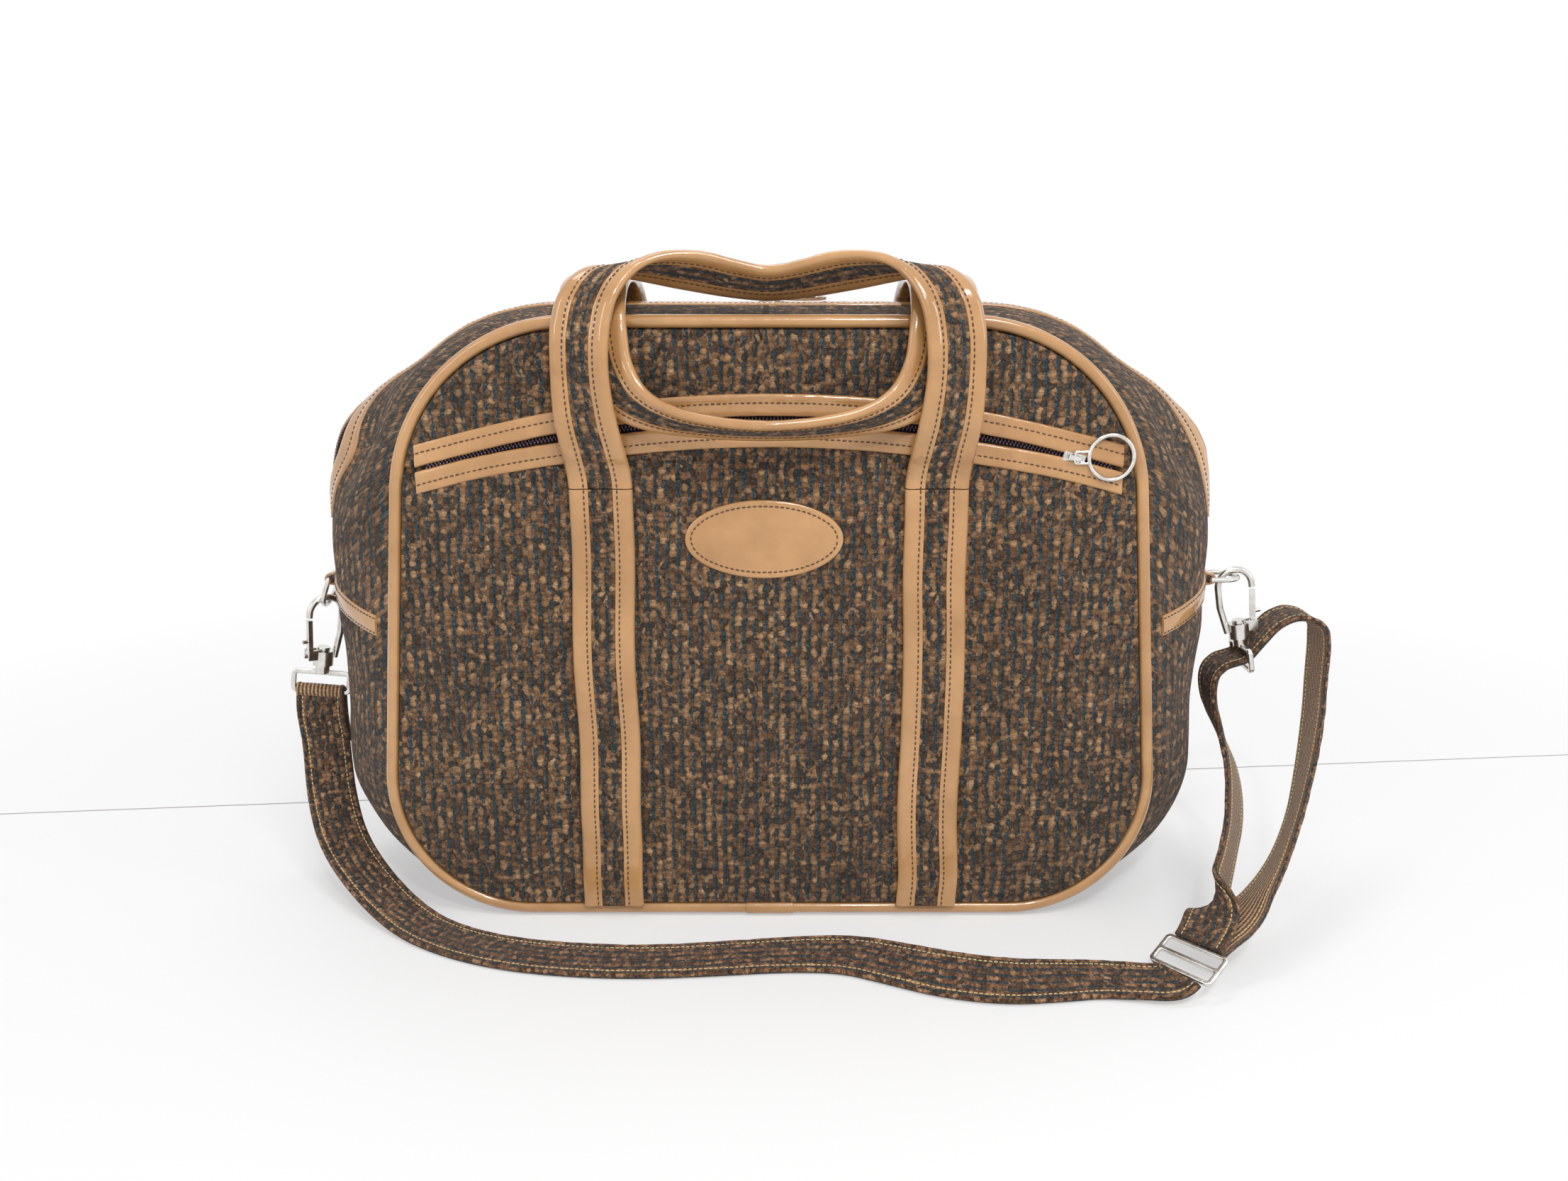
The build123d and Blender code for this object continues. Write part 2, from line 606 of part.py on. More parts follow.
SIDE = {"left": -1, "right": 1}
RING_TURN = {"left": 70.0, "right": 0.0}  # degrees below level
HOOK_LEAN = {"left": 8.0, "right": -10.0}
HOOK_YAW = {"left": 45.0, "right": 0.0}
LOOP_YAW = {"left": -35.0, "right": 90.0}
RIGHT_HOOK_SHIFT = (-2.0, 1.9)  # from the ring's bow to the eye's top, where the strap props it


def ring_place(side):
    bar = Pos(SIDE[side] * RING_BAR_X, BAND_MID_Y, BAND_Z + BAND_RISE)
    face = Rot(0, 0, 180) if side == "left" else Rot(0, 0, 0)
    return bar * face * Rot(0, RING_TURN[side], 0)


def hook_place(side):
    bow = ring_place(side) * Pos(ring_apex(), 0, 0)
    x, y, z = bow.position
    if side == "right":
        x, z = x + RIGHT_HOOK_SHIFT[0], z + RIGHT_HOOK_SHIFT[1]
    else:
        z += D_RING["wire"] / 2 + 2 * LAYER_GAP
    return Pos(x, y, z) * Rot(0, HOOK_LEAN[side], 0) * Rot(0, 0, HOOK_YAW[side])


def loop_place(side):
    return hook_place(side) * Rot(0, 0, LOOP_YAW[side])


def print_joints():
    """Where the joints lie, as drawn."""
    for side in ("left", "right"):
        bar = Pos(0, BAND_MID_Y, BAND_Z + BAND_RISE).position + Vector(RING_BAR_X * SIDE[side], 0, 0)
        bow = (ring_place(side) * Pos(ring_apex(), 0, 0)).position
        x, _, z = gate_axis()
        gate = (hook_place(side) * Pos(-x if side == "left" else x, 0, z)).position
        gate_line = (hook_place(side) * Pos(0, 1, 0)).position - hook_place(side).position
        neck = (hook_place(side) * Pos(0, 0, HOOK_BOSS["low"])).position
        neck_line = (hook_place(side) * Pos(0, 0, 1)).position - hook_place(side).position
        print(side, "bar", bar, "bow", bow, "gate", gate, gate_line, "neck", neck, neck_line)
    for name, place in (("pocket", pocket_slider_place()), ("main", main_slider_place())):
        pull = (place * Pos(0, 0, pull_axis_z())).position
        print(name, "pull", pull, "axis", (place * Pos(0, 1, 0)).position - place.position)
        print(name, "outwards", (place * Pos(0, 0, 1)).position - place.position)
    print("mouth centre z", MOUTH_Z - MOUTH_R)


def hardware():
    for side in ("left", "right"):
        keep(f"{side}_d_ring", ring_place(side) * d_ring())
        place = hook_place(side)
        keep(f"{side}_hook", place * flipped(side, hook_body()))
        keep(f"{side}_hook_gate", place * flipped(side, hook_gate()))
        keep(f"{side}_swivel_loop", loop_place(side) * swivel_loop())


def flipped(side, shape):
    """The left hook's gate is on its outer side too."""
    return mirror(shape, about=Plane.YZ) if side == "left" else shape


# The shoulder strap


def web_row(x, y, z, yaw, roll):
    """One row of the strap: its middle, and its width's direction by yaw and roll in degrees."""
    half = WEB_WIDTH / 2
    flat = half * cos(radians(roll))
    reach = (flat * cos(radians(yaw)), flat * sin(radians(yaw)), half * sin(radians(roll)))
    return [
        (x - reach[0], y - reach[1], z - reach[2]),
        (x + reach[0], y + reach[1], z + reach[2]),
    ]


def floor_row(x, y, yaw, roll, lift=0.0):
    """A row that lies on the floor on its lower edge."""
    z = WEB_CLEARANCE + lift
    z += WEB_WIDTH / 2 * sin(radians(abs(roll))) + WEB / 2 * cos(radians(roll))
    return web_row(x, y, z, yaw, roll)


def strap_end():
    """The strap's left end, folded round the loop's lower bar and sewn back on itself."""
    bar = loop_place("left") * Pos(0, 0, LOOP["top"] - LOOP["height"] + LOOP["wire"])
    x, y, z = bar.position
    hole = LOOP["wire"] / 2 + LAYER_GAP
    fold = Cylinder(hole + WEB, WEB_WIDTH, rotation=(0, 90, 0))
    yaw = HOOK_YAW["left"] + LOOP_YAW["left"]
    tilt = -HOOK_LEAN["left"]
    rows = [
        web_row(x, y, z - 1.0, yaw, tilt),
        web_row(x, y, z - 10.0, yaw, tilt * 0.6),
        web_row(x + 0.5, y - 0.5, z - 20.0, yaw, 0),
        web_row(x + 1.5, y - 1.5, z - 30.0, yaw, 0),
    ]
    fold = bar * fold + band(smooth(rows), 0.0, 1.0, 2 * WEB)
    keep("shoulder_strap_end", fold - bar * Cylinder(hole, BIG, rotation=(0, 90, 0)))
    return rows[-1]


def slide_place():
    return Pos(216.0, -75.5, 14.0) * Rot(0, 0, 40) * Rot(0, -26, 0)


def slide_row(along, up):
    """A row of the strap at the slide, in the slide's own directions."""
    edges = [slide_place() * Pos(along, side * WEB_WIDTH / 2, up) for side in (-1, 1)]
    return [tuple(edge.position) for edge in edges]


def strap_slide():
    """The three-bar slide that sets the strap's length, where the loop meets the run."""
    length, width, wire = SLIDE["length"], SLIDE["width"], SLIDE["wire"]
    frame = RectangleRounded(width, length, 3.0)
    window = RectangleRounded((width - 3 * wire) / 2, length - 2 * wire, 1.0)
    for side in (1, -1):
        frame -= Pos(side * (width - wire) / 4, 0) * window
    slide = extrude(frame, amount=wire / 2, both=True)
    slide = fillet(slide.faces().filter_by(Axis.Z).edges(), 0.7)
    keep("strap_slide", slide_place() * slide)


def keep_strap(name, rows):
    rows = squared(smooth(rows, 2), WEB_WIDTH)
    print(name, "length", round(strap_length(rows)))
    keep(name, band(rows, 0.0, 1.0, WEB))


def strap_run(end):
    """From the folded end down to the floor and along it, in front of the bag, to the slide."""
    x, y, z = (Vector(*end[0]) + Vector(*end[1])) * 0.5
    yaw = HOOK_YAW["left"] + LOOP_YAW["left"]
    rows = [
        web_row(x, y, z - 2 * LAYER_GAP, yaw, 0),
        web_row(x + 0.5, y - 0.5, z - 5.0, yaw, 0),
        web_row(x + 2.0, y - 5.0, z - 16.0, yaw + 3, 2),
        web_row(x + 6.5, y - 16.0, z - 33.0, 22, 5),
        web_row(-253.0, 32.0, 30.0, 34, 6),
        web_row(-230.0, 9.0, 14.0, 48, 4),
        floor_row(-203.0, -15.0, 50, 2, 2.0),
        floor_row(-176.0, -34.0, 58, 2),
        floor_row(-143.0, -49.0, 70, 4),
        floor_row(-108.0, -56.5, 82, 5),
        floor_row(-68.0, -59.0, 90, 5),
        floor_row(-28.0, -56.0, 94, 6),
        floor_row(10.0, -52.0, 94, 8),
        floor_row(42.0, -54.0, 76, 14),
        floor_row(66.0, -66.0, 62, 20),
        floor_row(92.0, -79.0, 74, 24),
        floor_row(120.0, -84.5, 90, 22),
        floor_row(146.0, -81.5, 98, 16),
        floor_row(168.0, -77.5, 96, 10),
        floor_row(188.0, -80.5, 84, 8, 1.0),
        slide_row(-SLIDE["width"] / 2 - 6.0, -0.8),
        slide_row(-SLIDE["width"] / 2 - LAYER_GAP, 0.0),
    ]
    keep_strap("shoulder_strap_run", rows)


def strap_loop():
    """From the slide up, through the right swivel loop, over in an arch and back to the slide."""
    window = LOOP["top"] - (LOOP["height"] - LOOP["wire"]) / 2
    x, _, z = (loop_place("right") * Pos(0, 0, window)).position
    level = WEB / 2 + LAYER_GAP
    rows = [
        slide_row(SLIDE["width"] / 2 + LAYER_GAP, level),
        slide_row(SLIDE["width"] / 2 + 7.0, level + 0.5),
        web_row(238.0, -47.0, 29.0, 58, 16),
        web_row(254.0, -17.0, 45.0, 62, 14),
        web_row(266.0, 10.0, 60.0, 64, 10),
        web_row(272.0, 34.0, 75.0, 70, 5),
        web_row(269.5, 52.0, 92.0, 80, 0),
        web_row(264.0, 63.0, 110.0, 88, 0),
        web_row(264.5, 67.5, 124.5, 90, 0),
        web_row(270.5, 68.0, 132.0, 90, 0),
        web_row(x, 68.0, z, 90, 0),
        web_row(x + 7, 67.5, z + 10, 90, 0),
        web_row(x + 16, 65.5, z + 22, 90, 0),
        web_row(x + 28, 63.0, z + 27, 90, 0),
        web_row(x + 40, 60.0, z + 22, 90, 0),
        web_row(325.0, 57.5, 148.0, 90, 0),
        web_row(323.5, 53.0, 128.0, 88, 0),
        web_row(319.0, 41.0, 106.0, 84, 2),
        web_row(309.0, 21.0, 83.0, 76, 6),
        web_row(294.0, -5.0, 61.0, 66, 12),
        web_row(274.0, -31.0, 42.0, 58, 16),
        web_row(251.0, -52.0, 27.0, 52, 16),
        slide_row(SLIDE["width"] / 2 + 7.0, -level - 0.5),
        slide_row(SLIDE["width"] / 2 + LAYER_GAP, -level),
    ]
    keep_strap("shoulder_strap_loop", rows)


def main():
    os.makedirs("parts", exist_ok=True)
    body, inside = body_pieces()
    panels_and_base(body, inside)
    pocket_pieces()
    slider_pieces()
    sewn_straps()
    front_handle()
    back_handle()
    hardware()
    strap_run(strap_end())
    strap_loop()
    strap_slide()
    print_joints()
    write_all()


main()
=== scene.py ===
# %% [markdown]
# # A soft tweed carry-on bag
#
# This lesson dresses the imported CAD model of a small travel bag. The metal fittings keep their CAD
# shapes and only get a finish. All that is cloth or vinyl on the real bag is made again here,
# puffed, creased and stitched, and each such piece stands for its plain CAD solid.

from functools import lru_cache
from math import cos, exp, pi, radians, sin, sqrt, tan

import bpy
from mathutils import Matrix, Vector, noise


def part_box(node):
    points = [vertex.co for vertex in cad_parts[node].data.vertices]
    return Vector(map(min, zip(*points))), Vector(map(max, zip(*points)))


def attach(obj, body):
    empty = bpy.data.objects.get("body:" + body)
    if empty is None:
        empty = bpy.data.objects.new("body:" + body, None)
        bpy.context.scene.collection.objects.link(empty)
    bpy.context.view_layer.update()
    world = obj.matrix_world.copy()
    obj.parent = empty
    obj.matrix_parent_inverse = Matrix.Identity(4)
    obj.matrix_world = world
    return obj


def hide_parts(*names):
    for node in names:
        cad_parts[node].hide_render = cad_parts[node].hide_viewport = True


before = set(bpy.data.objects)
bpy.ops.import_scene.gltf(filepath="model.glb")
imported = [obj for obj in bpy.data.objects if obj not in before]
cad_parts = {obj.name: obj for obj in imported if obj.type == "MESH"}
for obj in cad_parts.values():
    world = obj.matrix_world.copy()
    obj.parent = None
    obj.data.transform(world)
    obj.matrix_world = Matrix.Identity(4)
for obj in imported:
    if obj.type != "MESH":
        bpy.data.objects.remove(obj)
bpy.ops.object.select_all(action="DESELECT")
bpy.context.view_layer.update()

# %% [markdown]
# ## One ruler for everything
#
# The CAD was drawn in millimetres, with zero at the middle of the front panel's foot. The packed
# model has another origin, so every piece goes through one small function that turns drawn
# millimetres into metres of the frame. It reads the shift from the front panel's own box.

# %% From drawn millimetres to the frame
panel_low, panel_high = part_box("front_panel")
FOOT = Vector(((panel_low.x + panel_high.x) / 2, panel_low.y, 0.0))


def spot(point):
    """A point of the frame in metres, from drawn millimetres."""
    return FOOT + Vector(point) / 1000


print("drawn zero lies at", tuple(round(c, 5) for c in FOOT))

# %% [markdown]
# ## The camera
#
# The photograph was taken from close by with a wide lens, a little above the bag, so the bag's top
# shows and its sides fall back. The camera's place was found from the outline of the panel, whose
# real size is known.

# %% Place the camera
CAMERA = (8.0, -660.0, 346.0)
TILT_DOWN = 13.2
bpy.ops.object.camera_add(location=spot(CAMERA), rotation=(radians(90 - TILT_DOWN), 0, 0))
camera = bpy.context.object
camera.data.sensor_width = 36
camera.data.lens = 28.8
bpy.context.scene.camera = camera
print("camera", camera.data.lens, "mm lens at", tuple(round(c, 3) for c in camera.location))

# %% [markdown]
# ## Shader helpers
#
# Every finish is made of nodes. Two helpers keep the node code short: one makes an empty material
# and hands back its tree and its shader, and one adds a Math node whose inputs may be numbers or
# other sockets.

# %% Helpers for materials


def finish(name, roughness, metallic=0.0):
    """A new node material, its tree and its Principled shader."""
    made = bpy.data.materials.new(name)
    made.use_nodes = True
    shader = made.node_tree.nodes["Principled BSDF"]
    shader.inputs["Roughness"].default_value = roughness
    shader.inputs["Metallic"].default_value = metallic
    return made, made.node_tree, shader


def node(tree, kind, **inputs):
    """A node of that kind. Each input is a socket to link or a value to set."""
    made = tree.nodes.new(kind)
    for key, value in inputs.items():
        socket = made.inputs[key.replace("_", " ")]
        if isinstance(value, bpy.types.NodeSocket):
            tree.links.new(value, socket)
        else:
            socket.default_value = value
    return made


def sums(tree, operation, a, b=0.0):
    """The output of a Math node."""
    made = tree.nodes.new("ShaderNodeMath")
    made.operation = operation
    for socket, value in zip(made.inputs, (a, b)):
        if isinstance(value, bpy.types.NodeSocket):
            tree.links.new(value, socket)
        else:
            socket.default_value = value
    return made.outputs[0]


def times(tree, a, b):
    """The product of two inputs."""
    return sums(tree, "MULTIPLY", a, b)


def plus(tree, a, b):
    """The sum of two inputs."""
    return sums(tree, "ADD", a, b)


def blend_colours(tree, share, first, second, mode="MIX"):
    """The output of a colour Mix node."""
    made = tree.nodes.new("ShaderNodeMix")
    made.data_type = "RGBA"
    made.blend_type = mode
    for socket, value in zip((made.inputs[0], made.inputs[6], made.inputs[7]), (share, first, second)):
        if isinstance(value, bpy.types.NodeSocket):
            tree.links.new(value, socket)
        else:
            socket.default_value = value if isinstance(value, float) else (*value, 1.0)
    return made.outputs[2]


def ramp(tree, share, stops):
    """The output of a Color Ramp with (position, colour) stops."""
    made = tree.nodes.new("ShaderNodeValToRGB")
    while len(made.color_ramp.elements) < len(stops):
        made.color_ramp.elements.new(0.5)
    for element, (position, colour) in zip(made.color_ramp.elements, stops):
        element.position = position
        element.color = (*colour, 1.0)
    tree.links.new(share, made.inputs[0])
    return made.outputs[0]


def speckle(tree, where, scale, detail=2.0, roughness=0.6):
    """The value of a Noise texture."""
    made = node(tree, "ShaderNodeTexNoise", Vector=where, Scale=scale, Detail=detail, Roughness=roughness)
    return made.outputs["Fac"]


def relief(tree, shader, height, distance, strength=1.0):
    """A bump of that height map, in metres, on the shader's normal."""
    made = node(tree, "ShaderNodeBump", Height=height, Distance=distance, Strength=strength)
    tree.links.new(made.outputs[0], shader.inputs["Normal"])


# %% [markdown]
# ## The tweed
#
# Up close the cloth is rows of small soft nubs, each rust, ochre or dark brown by chance. Pairs of
# dark blue-green yarns run between every second column, and thinner dark ones across, half buried
# by the nubs. Voronoi cells with little randomness make the nubs: each cell gives a colour by chance
# and a rounded height. The colour is also darkened towards each nub's edge, which is painted shade in
# the hollows between the nubs. The pattern follows the piece's UV map, in metres, so it bends with
# the cloth and keeps its scale on every piece.

# %% Weave the tweed


def yarn_line(tree, along, repeat, share, soft=0.05):
    """1 on a dark yarn that comes once in each repeat and fills that share of it, else 0."""
    part = sums(tree, "FRACT", times(tree, along, 1 / repeat))
    off = sums(tree, "ABSOLUTE", sums(tree, "SUBTRACT", part, 0.5))
    made = node(tree, "ShaderNodeMapRange", Value=off)
    made.inputs["From Min"].default_value = 0.5 - share / 2 - soft
    made.inputs["From Max"].default_value = 0.5 - share / 2 + soft
    return made.outputs[0]


def weave(name, nub, warmth, depth):
    """A nubby tweed with nubs of that size in metres."""
    made, tree, shader = finish(name, 0.95)
    uv = tree.nodes.new("ShaderNodeUVMap").outputs[0]
    split = node(tree, "ShaderNodeSeparateXYZ", Vector=uv)
    drift = node(tree, "ShaderNodeTexNoise", Vector=uv, Scale=0.16 / nub, Detail=1.0)
    shake = node(tree, "ShaderNodeTexNoise", Vector=uv, Scale=1.1 / nub, Detail=2.0)
    slow = node(tree, "ShaderNodeSeparateXYZ", Vector=drift.outputs["Color"])
    fast = node(tree, "ShaderNodeSeparateXYZ", Vector=shake.outputs["Color"])
    place = []
    for axis in (0, 1):
        bent = times(tree, sums(tree, "SUBTRACT", slow.outputs[axis], 0.5), nub * 1.6)
        bent = plus(tree, bent, times(tree, sums(tree, "SUBTRACT", fast.outputs[axis], 0.5), nub * 0.9))
        place.append(plus(tree, split.outputs[axis], bent))
    across, up = place
    cell = node(tree, "ShaderNodeCombineXYZ", X=times(tree, across, 1 / nub), Y=times(tree, up, 0.93 / nub))
    nubs = node(tree, "ShaderNodeTexVoronoi", Vector=cell.outputs[0], Scale=1.0, Randomness=0.62)
    chance = node(tree, "ShaderNodeSeparateXYZ", Vector=nubs.outputs["Color"])
    crown = sums(tree, "SUBTRACT", 1.0, times(tree, nubs.outputs["Distance"], 1.35))
    fibre = speckle(tree, uv, 2.6 / nub, 4.0, 0.8)
    patches = speckle(tree, uv, 0.05 / nub, 3.0)
    warp = yarn_line(tree, plus(tree, across, nub / 2), nub * 2, 0.38)
    weft = yarn_line(tree, plus(tree, up, nub / 2), nub * 1.075, 0.16)
    buried = sums(tree, "GREATER_THAN", speckle(tree, uv, 0.62 / nub, 1.0), 0.45)
    dark = times(tree, warp, plus(tree, times(tree, buried, 0.6), 0.4))
    dark = sums(tree, "MAXIMUM", dark, times(tree, weft, 0.55))
    tone = plus(tree, times(tree, chance.outputs[0], 0.42), times(tree, fibre, 0.72))
    tone = plus(tree, tone, times(tree, patches, 0.22))
    brown = ramp(tree, tone, [
        (0.38, (0.025 * warmth, 0.018, 0.014)),
        (0.54, (0.112 * warmth, 0.065, 0.040)),
        (0.72, (0.300 * warmth, 0.152, 0.070)),
        (0.88, (0.520 * warmth, 0.290, 0.138)),
        (0.98, (0.660 * warmth, 0.450, 0.260)),
    ])
    blue = ramp(tree, fibre, [
        (0.30, (0.009, 0.015, 0.019)),
        (0.48, (0.034, 0.05, 0.059)),
        (0.68, (0.13, 0.18, 0.19)),
    ])
    colour = blend_colours(tree, dark, brown, blue)
    # Painted shade: the colour is multiplied darker towards each nub's edge, in the gaps between the nubs
    painted_nub_shade = plus(tree, times(tree, crown, 0.75), 0.42)
    grey = node(tree, "ShaderNodeCombineXYZ", X=painted_nub_shade, Y=painted_nub_shade, Z=painted_nub_shade).outputs[0]
    tree.links.new(blend_colours(tree, 1.0, colour, grey, "MULTIPLY"), shader.inputs["Base Color"])
    height = times(tree, crown, sums(tree, "SUBTRACT", 1.0, times(tree, dark, 0.55)))
    height = plus(tree, height, times(tree, fibre, 0.7))
    relief(tree, shader, height, depth, 0.9)
    shader.inputs["Sheen Weight"].default_value = 0.1
    shader.inputs["Sheen Roughness"].default_value = 0.5
    shader.inputs["Specular IOR Level"].default_value = 0.18
    return made


TWEED = weave("nubby tweed", 0.0029, 1.0, 0.0011)
STRAP_TWEED = weave("strap tweed", 0.0022, 1.05, 0.0008)
print("tweeds", TWEED.name, STRAP_TWEED.name)

# %% [markdown]
# ## The vinyl
#
# All edges are bound with glossy tan vinyl. It is smooth, with a faint grain, and the colour drifts
# a little along each piece. A clear coat gives the sharp white glints of the photograph on top of
# the softer shine below.

# %% Tan vinyl


def vinyl(name, light, dark, roughness):
    """Glossy vinyl between two close colours."""
    made, tree, shader = finish(name, roughness)
    where = tree.nodes.new("ShaderNodeTexCoord").outputs["Object"]
    cloud = speckle(tree, where, 22.0, 4.0)
    tree.links.new(ramp(tree, cloud, [(0.35, dark), (0.65, light)]), shader.inputs["Base Color"])
    grain = speckle(tree, where, 900.0, 3.0)
    crease = speckle(tree, where, 95.0, 2.0)
    height = plus(tree, times(tree, grain, 0.1), crease)
    relief(tree, shader, height, 0.0012, 0.5)
    shader.inputs["Coat Weight"].default_value = 0.85
    shader.inputs["Coat Roughness"].default_value = 0.07
    shader.inputs["Specular IOR Level"].default_value = 0.4
    return made


TAN = vinyl("tan vinyl", (0.54, 0.29, 0.115), (0.41, 0.205, 0.071), 0.24)
BROWN = vinyl("brown base vinyl", (0.22, 0.091, 0.042), (0.15, 0.063, 0.031), 0.42)
print("vinyls", TAN.name, BROWN.name)

# %% [markdown]
# ## Threads, zip, lining and metal
#
# The small finishes: dark brown sewing thread with a twist, cream chain stitch on the shoulder
# strap, woven zip tape, plum-black coils, a dark woven lining, grey board and worn nickel.

# %% The small finishes


def thread(name, light, dark):
    """Twisted sewing thread."""
    made, tree, shader = finish(name, 0.6)
    where = tree.nodes.new("ShaderNodeTexCoord").outputs["Object"]
    twist = speckle(tree, where, 1400.0, 2.0)
    tree.links.new(ramp(tree, twist, [(0.35, dark), (0.65, light)]), shader.inputs["Base Color"])
    relief(tree, shader, twist, 0.0002, 0.6)
    return made


def plain_weave(name, pitch, light, dark, roughness):
    """A fine plain weave on Object coordinates, darker in its low places as painted shade."""
    made, tree, shader = finish(name, roughness)
    where = tree.nodes.new("ShaderNodeTexCoord").outputs["Object"]
    waves = []
    for direction in ("X", "Z"):
        wave = node(tree, "ShaderNodeTexWave", Vector=where, Scale=0.314 / pitch, Distortion=0.6)
        wave.bands_direction = direction
        waves.append(wave.outputs["Fac"])
    height = times(tree, waves[0], waves[1])
    # Painted shade: the colour follows the weave's relief and is darker where it is low, mixed with random
    # speckle
    tone = plus(tree, times(tree, height, 0.6), times(tree, speckle(tree, where, 60.0), 0.6))
    tree.links.new(ramp(tree, tone, [(0.2, dark), (0.8, light)]), shader.inputs["Base Color"])
    relief(tree, shader, height, 0.0003, 0.7)
    return made


def metal(name, bright, dull, low, high):
    """Worn polished metal, with roughness that changes from place to place."""
    made, tree, shader = finish(name, low, 1.0)
    where = tree.nodes.new("ShaderNodeTexCoord").outputs["Object"]
    wear = speckle(tree, where, 130.0, 5.0, 0.7)
    tree.links.new(ramp(tree, wear, [(0.35, dull), (0.6, bright)]), shader.inputs["Base Color"])
    rough = plus(tree, times(tree, wear, high - low), low)
    tree.links.new(rough, shader.inputs["Roughness"])
    relief(tree, shader, speckle(tree, where, 700.0, 3.0), 0.0001, 0.25)
    return made


STITCH = thread("brown thread", (0.12, 0.056, 0.028), (0.042, 0.02, 0.011))
CHAIN = thread("cream chain stitch", (0.8, 0.63, 0.31), (0.5, 0.34, 0.15))
TAPE = plain_weave("zip tape", 0.0008, (0.07, 0.039, 0.048), (0.021, 0.013, 0.017), 0.8)
LINING = plain_weave("dark lining", 0.0006, (0.049, 0.034, 0.042), (0.014, 0.0098, 0.014), 0.7)
BOARD = plain_weave("grey board", 0.0011, (0.17, 0.15, 0.14), (0.098, 0.091, 0.084), 0.85)
COIL = vinyl("plum-black coil", (0.12, 0.063, 0.084), (0.042, 0.022, 0.034), 0.35)
NICKEL = metal("worn nickel", (0.78, 0.77, 0.74), (0.6, 0.57, 0.52), 0.1, 0.34)
print("finishes", [m.name for m in (STITCH, CHAIN, TAPE, LINING, BOARD, COIL, NICKEL)])

# %% [markdown]
# The inner face of the shoulder strap is ribbed webbing: brown and cream yarns in lines along the
# strap, with close ribs across. It reads the UV map, u across and v along, in metres.

# %% Ribbed webbing


def ribbed(name):
    made, tree, shader = finish(name, 0.75)
    uv = tree.nodes.new("ShaderNodeUVMap").outputs[0]
    split = node(tree, "ShaderNodeSeparateXYZ", Vector=uv)
    lanes = sums(tree, "SINE", times(tree, split.outputs[0], 2 * pi / 0.0022))
    ribs = sums(tree, "SINE", times(tree, split.outputs[1], 2 * pi / 0.0016))
    fleck = speckle(tree, uv, 900.0)
    tone = plus(tree, times(tree, lanes, 0.28), fleck)
    colour = ramp(tree, tone, [
        (0.3, (0.084, 0.042, 0.022)),
        (0.55, (0.24, 0.13, 0.063)),
        (0.85, (0.59, 0.39, 0.21)),
    ])
    tree.links.new(colour, shader.inputs["Base Color"])
    height = plus(tree, times(tree, ribs, 0.5), times(tree, lanes, 0.35))
    relief(tree, shader, height, 0.0004, 0.8)
    shader.inputs["Sheen Weight"].default_value = 0.15
    return made


WEBBING = ribbed("ribbed webbing")
print("webbing", WEBBING.name)

# %% [markdown]
# ## Two ways to make soft pieces
#
# Large cloths start as a grid primitive, whose points are then laid on the bag's form, and a
# Solidify modifier gives them the cloth's thickness. Narrow pieces, such as straps, bindings and
# piping, are a closed profile swept along rows. A row is the strip's two edges, so it can twist
# and turn as a real strap does, and both ways write a UV map in metres.

# %% Lay a cloth


def take(piece):
    """Select one piece alone and make it the active one."""
    bpy.ops.object.select_all(action="DESELECT")
    piece.select_set(True)
    bpy.context.view_layer.objects.active = piece


def settle(piece, inside=None):
    """Smooth shading, and faces that point outwards."""
    take(piece)
    if inside is not None:
        heart = spot(inside)
        lean = sum((f.center - heart).dot(f.normal) * f.area for f in piece.data.polygons)
        if lean < 0:
            bpy.ops.object.mode_set(mode="EDIT")
            bpy.ops.mesh.select_all(action="SELECT")
            bpy.ops.mesh.flip_normals()
            bpy.ops.object.mode_set(mode="OBJECT")
    bpy.ops.object.shade_smooth()
    return piece


HEART = (0.0, 82.0, 165.0)


def cloth(name, lay, across, along, finish_of, thickness, inside=HEART):
    """A grid primitive laid and unwrapped by lay(u, w), u and w from 0 to 1, thickened inwards."""
    bpy.ops.object.select_all(action="DESELECT")
    bpy.ops.mesh.primitive_grid_add(x_subdivisions=across, y_subdivisions=along, size=2, calc_uvs=True)
    piece = bpy.context.object
    piece.name = name
    laid = [lay((v.co.x + 1) / 2, (v.co.y + 1) / 2) for v in piece.data.vertices]
    for vertex, (point, _) in zip(piece.data.vertices, laid):
        vertex.co = spot(point)
    layer = piece.data.uv_layers.active.data
    for loop in piece.data.loops:
        layer[loop.index].uv = Vector(laid[loop.vertex_index][1]) / 1000
    piece.data.materials.append(finish_of)
    settle(piece, inside)
    shell = piece.modifiers.new("thickness", "SOLIDIFY")
    shell.thickness = thickness / 1000
    shell.offset = -1
    bpy.ops.object.modifier_apply(modifier=shell.name)
    return piece


# %% Sweep a strip


def mesh_piece(name, points, faces, uvs, finishes, slots=None):
    """A piece from drawn points and faces, with one UV for each corner."""
    mesh = bpy.data.meshes.new(name)
    mesh.from_pydata([spot(p) for p in points], [], faces)
    layer = mesh.uv_layers.new(name="UVMap").data
    for loop, uv in zip(layer, uvs):
        loop.uv = uv
    for made in finishes:
        mesh.materials.append(made)
    if slots:
        mesh.polygons.foreach_set("material_index", slots)
    piece = bpy.data.objects.new(name, mesh)
    bpy.context.scene.collection.objects.link(piece)
    return piece


def outwards(rows, closed=False, flip=1):
    """The unit direction out of a strip's face, at each row."""
    middles = [(a + b) * 0.5 for a, b in rows]
    count = len(rows)
    found = []
    for i, (a, b) in enumerate(rows):
        if closed:
            along = middles[(i + 1) % count] - middles[i - 1]
        else:
            along = middles[min(i + 1, count - 1)] - middles[max(i - 1, 0)]
        found.append(along.cross(b - a).normalized() * flip)
    return found


